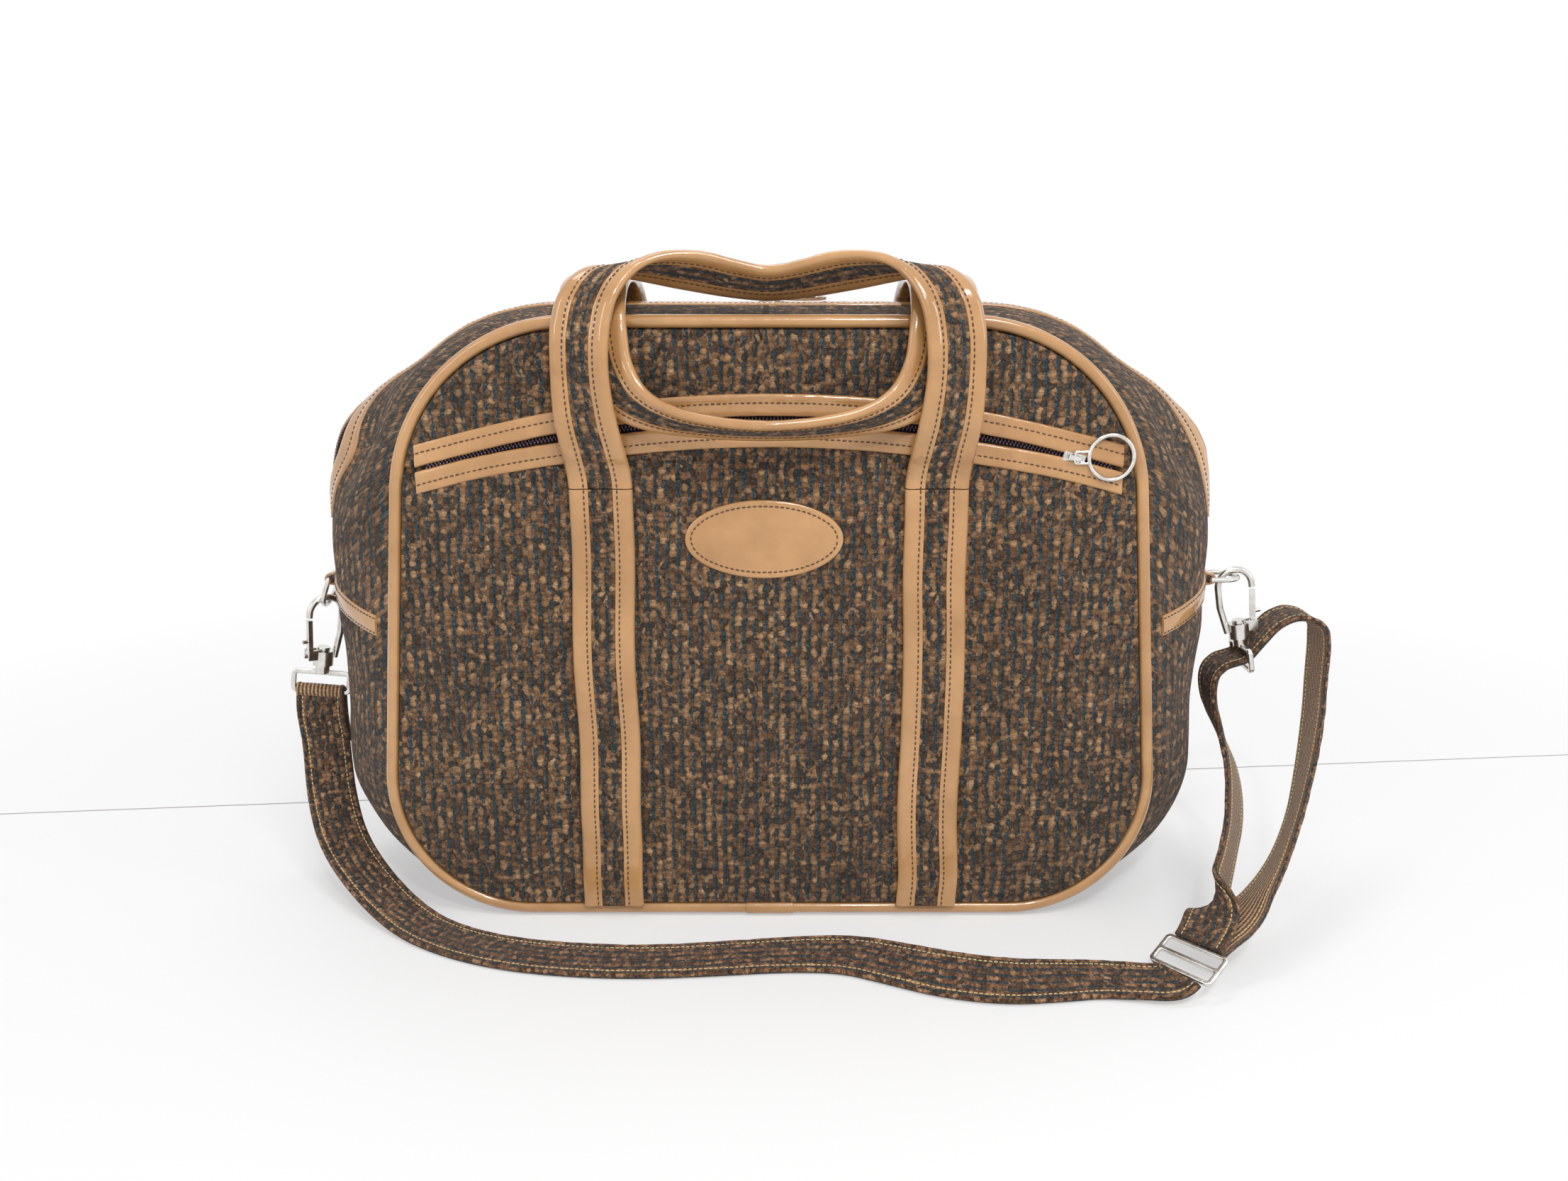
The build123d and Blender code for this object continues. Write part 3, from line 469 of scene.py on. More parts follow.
def sweep(name, rows, profile, finishes, closed=False, flip=1, slots=None, pucker=0.0, seed=0.0):
    """A closed profile of (share of the width, height) points along rows of (edge, edge)."""
    ups = outwards(rows, closed, flip)
    middles = [(a + b) * 0.5 for a, b in rows]
    lengths = [0.0]
    for a, b in zip(middles, middles[1:]):
        lengths.append(lengths[-1] + (b - a).length)
    points = []
    for (a, b), up, v in zip(rows, ups, lengths):
        for p, h in profile:
            if pucker and h > 0:
                h += pucker * noise.noise((v * 0.16 + seed, p * 4.0 + seed, seed))
            points.append(a + (b - a) * p + up * h)
    size = len(profile)
    width = (rows[0][1] - rows[0][0]).length
    round_profile = [0.0]
    for (p, h), (q, k) in zip(profile, profile[1:] + profile[:1]):
        round_profile.append(round_profile[-1] + sqrt(((q - p) * width) ** 2 + (k - h) ** 2))
    faces, uvs, found = [], [], []
    rings = len(rows) if closed else len(rows) - 1
    for i in range(rings):
        j = (i + 1) % len(rows)
        end = lengths[j] if j else lengths[i] + (middles[0] - middles[i]).length
        for k in range(size):
            n = (k + 1) % size
            faces.append((i * size + k, i * size + n, j * size + n, j * size + k))
            low, high = round_profile[k] / 1000, round_profile[k + 1] / 1000
            begun, ended = lengths[i] / 1000, end / 1000
            uvs += [(low, begun), (high, begun), (high, ended), (low, ended)]
            found.append(slots[k] if slots else 0)
    if not closed:
        for start, order in ((0, range(size)), ((len(rows) - 1) * size, reversed(range(size)))):
            ring = [start + k for k in order]
            faces.append(ring)
            uvs += [(profile[k - start][0] * width / 1000, profile[k - start][1] / 1000) for k in ring]
            found.append(0)
    piece = mesh_piece(name, points, faces, uvs, finishes, found)
    take(piece)
    bpy.ops.object.mode_set(mode="EDIT")
    bpy.ops.mesh.select_all(action="SELECT")
    bpy.ops.mesh.normals_make_consistent(inside=False)
    bpy.ops.object.mode_set(mode="OBJECT")
    bpy.ops.object.shade_smooth_by_angle(angle=radians(60))
    return piece


# %% Keep the books: what stands for what


def hand_in(piece, slot, body, *nodes):
    """Rides the piece on a body and hides the CAD nodes that it stands for. The slot is not used."""
    if nodes:
        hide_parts(*nodes)
    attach(piece, body)
    print(piece.name, len(piece.data.polygons), "faces, rides on", body)
    return piece


# %% [markdown]
# ## Smooth rows
#
# A strip is described by a few rows and smoothed by a curve that passes through all of them, the
# same curve that the CAD model uses, so a strap made here lies where its solid lies.

# %% Smooth a few rows into many


def through(before, start, stop, after, t):
    """A point on the curve from start to stop that also heeds its neighbours."""
    linear = (stop - before) * (0.5 * t)
    square = (before * 2 - start * 5 + stop * 4 - after) * (0.5 * t * t)
    cube = (start * 3 - before - stop * 3 + after) * (0.5 * t * t * t)
    return start + linear + square + cube


def smooth(rows, steps):
    """More rows on a curve through the given ones."""
    rows = [[Vector(edge) for edge in row] for row in rows]
    first = [rows[0][k] * 2 - rows[1][k] for k in (0, 1)]
    last = [rows[-1][k] * 2 - rows[-2][k] for k in (0, 1)]
    rows = [first] + rows + [last]
    made = []
    for before, start, stop, after in zip(rows, rows[1:], rows[2:], rows[3:]):
        for step in range(steps):
            made.append([through(before[k], start[k], stop[k], after[k], step / steps) for k in (0, 1)])
    return made + [rows[-2]]


def mirrored(rows):
    """The rows of a left half, then the same rows down the right."""
    return rows + [[(-x, y, z) for x, y, z in row] for row in reversed(rows[:-1])]


# %% [markdown]
# ## Stitches
#
# The seams are what makes the trim look sewn. One stitch is modelled: a short six-sided grain with
# pointed ends. It is then copied along each seam at its own pitch, and all the stitches of one body
# become one piece. Each body of the bag collects its stitches here until its turn comes.

# %% Model one stitch and sow it along a seam
bpy.ops.mesh.primitive_uv_sphere_add(segments=6, ring_count=4, radius=1)
one_stitch = bpy.context.object
STITCH_POINTS = [v.co.copy() for v in one_stitch.data.vertices]
STITCH_FACES = [tuple(f.vertices) for f in one_stitch.data.polygons]
bpy.data.objects.remove(one_stitch)
sewn = {}


def along_line(line, pitch, start=0.5):
    """Places at an even pitch on a line of (point, up) pairs, as (point, direction, up)."""
    found, passed, due = [], 0.0, pitch * start
    for (a, up), (b, _) in zip(line, line[1:]):
        span = (b - a).length
        while due < passed + span:
            found.append((a + (b - a) * ((due - passed) / span), (b - a) / span, up))
            due += pitch
        passed += span
    return found


def sow(body, line, pitch=3.1, length=1.15, thick=0.46, wander=0.12):
    """Adds a seam's stitches to that body's heap."""
    points, faces = sewn.setdefault(body, ([], []))
    for i, (at, along, up) in enumerate(along_line(line, pitch)):
        side = along.cross(up).normalized()
        at = at + side * (noise.noise((i * 0.7, at.x, at.z)) * wander)
        tilt = (along + side * (noise.noise((i * 0.9, at.z, 3.0)) * 0.25)).normalized()
        across = tilt.cross(up).normalized()
        base = len(points)
        for p in STITCH_POINTS:
            points.append(at + tilt * (p.z * length) + across * (p.x * thick) + up * (p.y * thick))
        faces += [tuple(base + k for k in face) for face in STITCH_FACES]


def seam(rows, share, height, closed=False, flip=1):
    """The line of a seam on a strip, at a share of its width and a height over its middle."""
    ups = outwards(rows, closed, flip)
    return [(a + (b - a) * share + up * height, up) for (a, b), up in zip(rows, ups)]


print("one stitch has", len(STITCH_FACES), "faces")

# %% [markdown]
# ## The bag's form
#
# The body is a row of rounded outlines from front to back: the panels' outline at both ends, and a
# wider and higher one in the middle, where the zip runs. The back panel leans forward. One place
# on the gusset is named by h, which climbs from 0 at the bottom's middle to 5 at the top's, by the
# side, and by the station between the front (0) and the back (1).

# %% Outlines and stations
DEPTH, LEAN = 165.0, 10.0
PANEL = (217.4, 191.0, 5.0, 333.5, 76.0, 96.0)
CROWN = (254.5, 254.5, 3.0, 343.0, 80.0, 142.0)
INWARD = Vector((-1.0, 0.0))


def corner(tip, first, second, radius):
    """A rounded corner's centre, start and end."""
    half = first.angle(second) / 2
    centre = tip + (first + second).normalized() * (radius / sin(half))
    return centre, tip + first * (radius / tan(half)), tip + second * (radius / tan(half))


@lru_cache(maxsize=None)
def outline_at(station):
    swell = sin(pi * station) ** 0.8 if 0 < station < 1 else 0.0
    sizes = [p + (c - p) * swell for p, c in zip(PANEL, CROWN)]
    foot, head = Vector((sizes[0], sizes[2])), Vector((sizes[1], sizes[3]))
    up = (head - foot).normalized()
    return sizes[2], sizes[3], corner(foot, INWARD, up, sizes[4]), corner(head, -up, INWARD, sizes[5])


def bend(centre, start, stop, f):
    """A point on a corner's arc, and its normal."""
    a, b = start - centre, stop - centre
    turn = a.angle(b)
    arm = (a * sin((1 - f) * turn) + b * sin(f * turn)) / sin(turn)
    return centre + arm, arm.normalized()


def rim(h, station):
    """A point on the right half of an outline, and its normal."""
    low, high, (c1, a1, b1), (c2, a2, b2) = outline_at(station)
    k = min(int(h), 4)
    f = h - k
    if k == 0:
        return Vector((a1.x * f, low)), Vector((0.0, -1.0))
    if k == 1:
        return bend(c1, a1, b1, f)
    if k == 2:
        along = a2 - b1
        return b1 + along * f, Vector((along.y, -along.x)).normalized()
    if k == 3:
        return bend(c2, a2, b2, f)
    return Vector((b2.x * (1 - f), high)), Vector((0.0, 1.0))


def shoulder(h, side, station):
    """How far the cloth bulges at the zip, and sinks before it, where the zip rounds a corner."""
    z = rim(h, 0.5)[0].y
    bulge = exp(-((z - 262) / 28) ** 2) * (1.0 if side < 0 else 0.85)
    dent = exp(-((z - 316) / 15) ** 2)
    swell = 11.5 * exp(-((station - 0.58) / 0.17) ** 2) - 8.5 * exp(-((station - 0.24) / 0.14) ** 2)
    return bulge * swell - dent * 4.5 * sin(pi * station)


def skin(h, side, station, out=0.0):
    """A point on the bag's skin, or that far outside it."""
    p, n = rim(h, station)
    p = p + n * (out + shoulder(h, side, station) * min(station, 1 - station, 0.2) * 5)
    lean = radians(LEAN * station)
    return Vector((side * p.x, DEPTH * station - p.y * sin(lean), p.y * cos(lean)))


# How long the middle outline is, up to each h
REACH = [0.0]
for step in range(500):
    REACH.append(REACH[-1] + (rim((step + 1) / 100, 0.5)[0] - rim(step / 100, 0.5)[0]).length)


def reach_of(h):
    k = min(int(h * 100), 499)
    return REACH[k] + (REACH[k + 1] - REACH[k]) * (h * 100 - k)


def h_at(reach):
    reach = min(max(reach, 0.0), REACH[-1])
    low, high = 0, 500
    while high - low > 1:
        middle = (low + high) // 2
        low, high = (middle, high) if REACH[middle] <= reach else (low, middle)
    return (low + (reach - REACH[low]) / (REACH[high] - REACH[low])) / 100


def h_where(test):
    """The h on the side where a test turns true on the way up."""
    low, high = 1.0, 4.0
    for _ in range(26):
        middle = (low + high) / 2
        low, high = (low, middle) if test(middle) else (middle, high)
    return low


def beside_zip(h, distance):
    """The station that lies a distance behind the middle plane at this height."""
    v = rim(h, 0.5)[0].y
    return 0.5 + distance / ((DEPTH - 0.1739 * v) * 0.996 - 0.0013 * v)


print("half the middle outline is", round(REACH[-1]), "mm")

# %% [markdown]
# Two lines cut the gusset: the ring bands, which rise a little towards the middle of each side, and
# the zip, which stands open at its left end as in the photograph. The cloth between them isn't
# flat: it has soft folds, which fade out towards every seam.

# %% Seams and folds on the gusset
ZIP_FOOT = 222.0


@lru_cache(maxsize=None)
def band_h(station, shift=0.0):
    def above(h):
        p = skin(h, 1, station)
        return p.z > 184.0 + shift - abs(p.y - 68.0) * 16 / 68
    return h_where(above)


def gape(h, side):
    """How much wider the zip stands open here, on each side of its middle."""
    z = rim(h, 0.5)[0].y * 0.996
    return 7.0 * exp(-((z - 258) / 19) ** 2) if side < 0 and h < 4 else 0.0


def zip_edge(h, side):
    """Half the gap between the two cloths over the zip."""
    z = rim(h, 0.5)[0].y * 0.996
    opened = min(max((z - ZIP_FOOT + 2) / 5, 0.01), 1.0)
    return (2.6 + gape(h, side)) * opened


def fold(p, station, seams):
    """How far the cloth stands out, in mm; seams is 0 on a seam and 1 away from all."""
    wide = noise.noise((p.x * 0.011, p.y * 0.022, p.z * 0.014 + 5))
    fine = noise.noise((p.x * 0.03 + 9, p.y * 0.045, p.z * 0.034))
    return (wide * 4.2 + fine * 1.6 - 0.4) * seams * sin(pi * min(max(station, 0.0), 1.0)) ** 0.6


def near(distance, reach):
    """0 at a seam and 1 beyond its reach, without a corner."""
    t = min(max(distance / reach, 0.0), 1.0)
    return t * t * (3 - 2 * t)


def upper_gusset(edge):
    """Lays one upper half of the gusset: edge is 0 for the front and 1 for the back."""
    def lay(u, w):
        side = 1 if w < 0.5 else -1
        share = abs(2 * w - 1)
        station = edge + (0.5 - edge) * u
        foot = reach_of(band_h(round(station, 3)))
        h = h_at(REACH[-1] - share * (REACH[-1] - foot))
        gap = zip_edge(h, side) * (-1 if edge == 0 else 1)
        station = edge + (beside_zip(h, gap) - edge) * u
        p = skin(h, side, station)
        away = near(abs(station - 0.5) * 120 - abs(gap) - 8, 26) * near((1 - share) * (REACH[-1] - foot), 30)
        p = skin(h, side, station, fold(p, station, away))
        across = station * (DEPTH - 0.174 * rim(h, 0.5)[0].y) * 1.12
        return p, (across, side * (REACH[-1] - share * (REACH[-1] - foot)))
    return lay


def lower_gusset(u, w):
    side = 1 if w < 0.5 else -1
    share = abs(2 * w - 1)
    foot = reach_of(band_h(round(u, 3)))
    h = h_at(share * foot)
    p = skin(h, side, u)
    away = near((1 - share) * foot, 30) * near(p.z - 6, 40)
    p = skin(h, side, u, fold(p, u, away))
    return p, (u * (DEPTH - 0.174 * rim(h, 0.5)[0].y) * 1.12, side * share * foot)


hand_in(cloth("gusset_front_cloth", upper_gusset(0), 26, 220, TWEED, 2.4), "tweed", "bag", "gusset_front")
hand_in(cloth("gusset_back_cloth", upper_gusset(1), 26, 220, TWEED, 2.4), "tweed", "bag", "gusset_back")
hand_in(cloth("gusset_base_cloth", lower_gusset, 48, 180, TWEED, 2.4), "tweed", "bag", "gusset_base")

# %% [markdown]
# ## The two faces
#
# The front is three cloths: a panel behind, a pocket in front of it, and a yoke above the pocket's
# zip. They are soft, so the pocket stands out between the straps and is held down under them,
# and that gives the broad soft shading of the photograph. The back is one cloth.

# %% Widths of the panel at each height


@lru_cache(maxsize=None)
def widths(inset):
    """(height, half width) pairs up the panel's side."""
    found = []
    for step in range(401):
        p, n = rim(1 + step / 100, 0.0)
        p = p - n * inset
        found.append((p.y, p.x))
    return found


def half_width(z, inset):
    table = widths(inset)
    low, high = 0, len(table) - 1
    z = min(max(z, table[0][0]), table[-1][0])
    while high - low > 1:
        middle = (low + high) // 2
        low, high = (middle, high) if table[middle][0] <= z else (low, middle)
    (z0, x0), (z1, x1) = table[low], table[high]
    return x0 + (x1 - x0) * min((z - z0) / max(z1 - z0, 1e-6), 1.0)


MOUTH_R, MOUTH_Z = 680.0, 283.0
STRAP_X = 88.5


def mouth(x, out=0.0):
    """The height of the pocket's mouth, or of an arc that far outside it."""
    return MOUTH_Z - MOUTH_R + sqrt((MOUTH_R + out) ** 2 - x * x)


def pocket_front(x, z):
    """How far the pocket's cloth lies in front of the panel's face."""
    seams = min(half_width(z, 4.3) - abs(x), z - 9.3, mouth(x, -3) - z)
    beside = near(abs(abs(x) - STRAP_X) - 15, 30)
    belly = near(seams, 42) * (0.7 + 4.6 * beside)
    ripple = noise.noise((x * 0.016, z * 0.009, 2.0)) * 2.2 + noise.noise((x * 0.05, z * 0.03, 5.0)) * 0.5
    return 3.1 + belly + ripple * near(seams, 30) * (0.15 + 0.85 * beside)


def panel_cloth(low, high, depth, inset=4.3):
    """Lays a cloth on a face between two heights, which may depend on x."""
    def lay(u, w):
        c = 2 * u - 1
        x = c * 186.0
        for _ in range(6):
            bottom, top = low(x), high(x)
            z = bottom + (top - bottom) * w
            x = c * half_width(z, inset)
        return depth(x, z), (x, z)
    return lay


def denser(lay, both):
    """Rows closer together at the rounded end of the panel, or at both ends."""
    def new(u, w):
        return lay(u, (1 - cos(pi * w)) / 2 if both else 1 - cos(pi / 2 * w))
    return new


def back_place(x, v, out):
    """A point on the back panel at a height along it, that far outside it."""
    lean = radians(LEAN)
    return Vector((x, DEPTH - v * sin(lean) + out * cos(lean), v * cos(lean) + out * sin(lean)))


def back_belly(x, v):
    seams = min(half_width(v, 0.5) - abs(x), v - 5, 333 - v)
    beside = near(abs(abs(x) - STRAP_X) - 15, 30)
    ripple = noise.noise((x * 0.012, v * 0.01, 9.0)) * 1.5 * near(seams, 40) * beside
    return near(seams, 45) * (0.3 + 3.6 * beside) + ripple


def yoke_front(x, z):
    """How far the yoke stands out from the panel's plane."""
    seams = min(half_width(z, 4.3) - abs(x), z - mouth(x, 3), 329 - z)
    return 3.1 + 1.6 * near(seams, 22)


front = panel_cloth(lambda x: 5.5, lambda x: 333.0, lambda x, z: Vector((x, 0.0, z)), 0.5)
pocket = panel_cloth(lambda x: 9.3, lambda x: mouth(x, -3), lambda x, z: Vector((x, -pocket_front(x, z), z)))
yoke = panel_cloth(lambda x: mouth(x, 3), lambda x: 329.2, lambda x, z: Vector((x, -yoke_front(x, z), z)))
back = panel_cloth(lambda x: 5.5, lambda x: 333.0, lambda x, v: back_place(x, v, back_belly(x, v)), 0.5)
hand_in(cloth("front_panel_cloth", denser(front, True), 40, 60, TWEED, 2.3), "tweed", "bag", "front_panel")
hand_in(cloth("pocket_cloth", denser(pocket, False), 150, 110, TWEED, 2.4), "tweed", "bag", "pocket_panel")
hand_in(cloth("yoke_cloth", yoke, 120, 30, TWEED, 2.4), "tweed", "bag", "front_yoke")
hand_in(cloth("back_panel_cloth", denser(back, True), 110, 90, TWEED, 2.4), "tweed", "bag", "back_panel")

# %% [markdown]
# ## Piping
#
# A fat vinyl cord runs round both faces and hides the seam between face and gusset. At the bottom
# of the front a short sleeve of the same vinyl covers the place where its two ends meet.

# %% Sweep the piping
ROUND = [(0.5 + 0.5 * cos(pi * k / 6), sin(pi * k / 6)) for k in range(12)]


def round_profile(radius):
    return [(p, h * radius) for p, h in ROUND]


def piping(station):
    rows = []
    for side, order in ((1, range(0, 500, 2)), (-1, range(500, 0, -2))):
        for step in order:
            p, n = rim(step / 100, station)
            wave = 3.5 + 0.12 * noise.noise((p.x * 0.05 * side, p.y * 0.05, station * 9))
            rows.append([skin(step / 100, side, station, -wave), skin(step / 100, side, station, wave)])
    return rows


for name, station in (("front_piping", 0.0), ("back_piping", 1.0)):
    welt = sweep(name + "_cord", piping(station), round_profile(3.5), [TAN], closed=True)
    hand_in(welt, "vinyl", "bag", name)
sleeve = [[Vector((x, 0, 0.9)), Vector((x, 0, 9.1))] for x in (-13.5, -13.2, -12, -6, 0, 6, 12, 13.2, 13.5)]
for row, tuck in ((sleeve[0], 0.7), (sleeve[-1], 0.7)):
    row[0].z += tuck
    row[1].z -= tuck
hand_in(sweep("piping_sleeve", sleeve, round_profile(4.1), [TAN]), "vinyl", "bag", "front_piping_wrap")

# %% [markdown]
# ## Bindings and bands
#
# Each side of a zip has a vinyl binding: it is rolled over where it meets the zip, stitched down
# along its middle, and thin at its far edge. The ring bands are flat strips with a seam along each
# edge.

# %% Bindings along both zips
BINDING = [(0.0, -0.3), (-0.03, 0.5), (0.03, 1.35), (0.13, 1.7), (0.27, 1.45), (0.44, 1.2), (0.58, 0.92),
           (0.72, 1.15), (0.88, 1.1), (0.97, 0.8), (1.0, 0.1), (1.0, -0.3)]
BAND = [(0.0, -0.3), (0.0, 0.5), (0.04, 1.0), (0.14, 0.8), (0.26, 1.2), (0.5, 1.3), (0.74, 1.2), (0.86, 0.8),
        (0.96, 1.0), (1.0, 0.5), (1.0, -0.3)]
TAB = [(0, -0.6), (0, 0.5), (0.06, 0.75), (0.94, 0.75), (1, 0.5), (1, -0.6)]


def flip_of(rows, centre=HEART, closed=False):
    """1 where the rows' own outward side faces away from the centre, and otherwise -1."""
    middle = len(rows) // 2
    out = outwards(rows, closed)[middle]
    return 1 if out.dot((rows[middle][0] + rows[middle][1]) / 2 - Vector(centre)) > 0 else -1


def round_the_zip(foot, count):
    """(h, side) pairs from the zip's right end, over the top, to its left end."""
    start = reach_of(h_where(lambda h: rim(h, 0.5)[0].y * 0.996 > foot))
    found = []
    for step in range(count + 1):
        w = 1 - 2 * step / count
        side = 1 if w >= 0 else -1
        found.append((h_at(REACH[-1] - abs(w) * (REACH[-1] - start)), side))
    return found


for name, sign in (("front", -1), ("back", 1)):
    rows = []
    for h, side in round_the_zip(221.0, 200):
        inner = zip_edge(h, side)
        rows.append([skin(h, side, beside_zip(h, sign * d)) for d in (inner, inner + 11)])
    flip = flip_of(rows)
    trim = sweep(f"main_zip_{name}_trim", rows, BINDING, [TAN], flip=flip, pucker=0.25, seed=sign * 3.0)
    hand_in(trim, "vinyl", "bag", f"main_zip_{name}_binding")
    sow("bag", seam(rows, 0.58, 1.0, flip=flip))

xs = [-186 + 372 * step / 150 for step in range(151)]
for name, sign in (("upper", 1), ("lower", -1)):
    rows = []
    for x in xs:
        parted = 1.5 + 1.2 * near(168 - abs(x), 70)
        start, stop = sign * parted, sign * (parted + 11.2)
        half = half_width(mouth(x, (start + stop) / 2), 3.6)
        x = min(max(x, -half), half)
        y = 3.15 + 1.1 * near(half - abs(x), 30) - 0.6 * near(-x - 110, 40)
        rows.append([Vector((x, -y, mouth(x, d))) for d in (start, stop)])
    rows = [row for row, after in zip(rows, rows[1:]) if (row[0] - after[0]).length > 0.5] + [rows[-1]]
    flip = flip_of(rows)
    trim = sweep(f"pocket_{name}_trim", rows, BINDING, [TAN], flip=flip, pucker=0.4, seed=sign * 2.2)
    hand_in(trim, "vinyl", "bag", f"pocket_{name}_binding")
    sow("bag", seam(rows, 0.58, 1.0, flip=flip))

for name, side in (("left", -1), ("right", 1)):
    rows = []
    for step in range(3, 58):
        station = step / 60
        rows.append([skin(band_h(station, shift), side, station, 0.2) for shift in (-5.75, 5.75)])
    flip = flip_of(rows)
    band = sweep(f"{name}_band", rows, BAND, [TAN], flip=flip, pucker=0.2, seed=side)
    hand_in(band, "vinyl", "bag", f"{name}_ring_band")
    for share in (0.14, 0.86):
        sow("bag", seam(rows, share, 0.9, flip=flip))
    bar = (side * 259.0, 68.0, 184.0)
    rows = []
    turns = [(-5.6, -8.5), (-4.8, -5.2), (-2.4, -3.3)]
    turns += [(2.75 * sin(radians(a)), -2.75 * cos(radians(a))) for a in range(10, 180, 20)]
    turns += [(-2.4, 3.3), (-4.8, 5.2), (-5.6, 8.5)]
    for out, up in turns:
        rows.append([Vector((bar[0] + side * out, bar[1] + s * 8.0, bar[2] + up)) for s in (-1, 1)])
    tab = sweep(f"{name}_tab", rows, TAB, [TAN], flip=flip_of(rows, bar))
    hand_in(tab, "vinyl", "bag", f"{name}_ring_tab")

# %% [markdown]
# ## Straps and handles
#
# Four straps are sewn flat to the faces, and a free loop joins each pair over the top. All have the
# same make: a tweed middle, and a vinyl edge on each side that is folded round the strap, padded
# like a small roll at its outer edge, and stitched near its inner one. The handles' rows are the
# CAD's own, so each handle stands for its solid and turns about the same hinge.

# %% The make of a strap
EDGE = [(-0.012, 0.0), (-0.006, 1.0), (0.02, 1.9), (0.07, 2.5), (0.13, 2.5), (0.19, 2.15), (0.235, 1.82),
        (0.275, 2.12), (0.303, 2.0), (0.309, 1.3)]
MIDDLE = [(0.295, 1.2), (0.30, 1.72), (0.4, 1.98), (0.5, 2.06), (0.6, 1.98), (0.70, 1.72), (0.705, 1.2)]
LEFT_EDGE = EDGE + [(p, -h) for p, h in reversed(EDGE[1:])]
RIGHT_EDGE = [(1 - p, h) for p, h in LEFT_EDGE]
CORE = MIDDLE + [(p, -h) for p, h in reversed(MIDDLE)]


def joined(pieces, name):
    """Several meshes as one piece."""
    bpy.ops.object.select_all(action="DESELECT")
    for piece in pieces:
        piece.select_set(True)
    bpy.context.view_layer.objects.active = pieces[0]
    bpy.ops.object.join()
    pieces[0].name = name
    return pieces[0]


def make_strap(name, rows, body, faces):
    """A strap's tweed, its two vinyl edges, and its seams on the given faces (1, -1 or both)."""
    hand_in(sweep(name + "_tweed", rows, CORE, [TWEED]), "tweed", body, name)
    edges = []
    for k, profile in enumerate((LEFT_EDGE, RIGHT_EDGE)):
        edges.append(sweep(name, rows, profile, [TAN], pucker=0.28, seed=k + len(name)))
    hand_in(joined(edges, name + "_edges"), "vinyl", body, name + "_trim")
    for face in faces:
        for share in (0.235, 0.765):
            sow(body, seam(rows, share, 1.95, flip=face))


# %% Straps sewn to the faces
STRAP_FOOT, FRONT_STRAP_TOP, BACK_STRAP_TOP, HALF_STRAP = 9.0, 247.2, 317.2, 16.5
for name, x in (("left", -STRAP_X), ("right", STRAP_X)):
    rows = []
    for step in range(49):
        z = STRAP_FOOT + (FRONT_STRAP_TOP - STRAP_FOOT) * step / 48
        loose = near(247 - z, 30) * near(z - 9, 20)
        slip = noise.noise((z * 0.018, x, 1.0)) * 1.6 * loose
        rise = noise.noise((z * 0.03, x, 4.0)) * 0.7 * loose
        rows.append([Vector((x + slip + s * HALF_STRAP, -5.35 - rise, z)) for s in (-1, 1)])
    make_strap(f"front_{name}_strap", rows, "bag", [flip_of(rows)])
    tack = rows[-4]
    for lift in (-2.2, 0.0, 2.2):
        line = []
        for share in (0.33, 0.5, 0.67):
            place = tack[0] + (tack[1] - tack[0]) * share + Vector((0, -2.1, lift))
            line.append((place, Vector((0, -1, 0))))
        sow("bag", line, pitch=2.4)
    rows = []
    for step in range(61):
        v = STRAP_FOOT + (BACK_STRAP_TOP - STRAP_FOOT) * step / 60
        slip = noise.noise((v * 0.016, x, 7.0)) * 1.4 * near(317 - v, 30)
        rows.append([back_place(-x + slip + s * HALF_STRAP, v, 2.3) for s in (-1, 1)])
    make_strap(f"back_{name}_strap", rows, "bag", [flip_of(rows)])

# %% The two carrying handles
FRONT_LOOP = [
    [(-72.0, -5.35, 248.0), (-105.0, -5.35, 248.0)],
    [(-72.4, -6.25, 254.0), (-105.4, -6.25, 254.0)],
    [(-73.2, -9.2, 261.0), (-106.2, -8.8, 261.0)],
    [(-74.5, -14.5, 269.0), (-107.0, -12.5, 269.0)],
    [(-77.5, -21.5, 286.0), (-109.5, -16.0, 286.0)],
    [(-80.0, -25.5, 308.0), (-110.0, -17.0, 309.0)],
    [(-79.0, -26.5, 328.0), (-109.0, -17.0, 331.0)],
    [(-75.0, -24.0, 345.0), (-104.0, -14.0, 348.0)],
    [(-66.0, -18.0, 358.5), (-93.0, -3.0, 358.5)],
    [(-53.0, -14.0, 366.0), (-75.0, 9.0, 356.5)],
    [(-34.0, -11.0, 367.0), (-48.0, 16.0, 351.0)],
    [(-15.0, -9.0, 362.5), (-20.0, 19.0, 346.5)],
    [(0.0, -8.0, 360.0), (0.0, 20.0, 345.0)],
]
tack_at = back_place(0, 318.0, 2.25)
free_at = back_place(0, 324.0, 3.15)
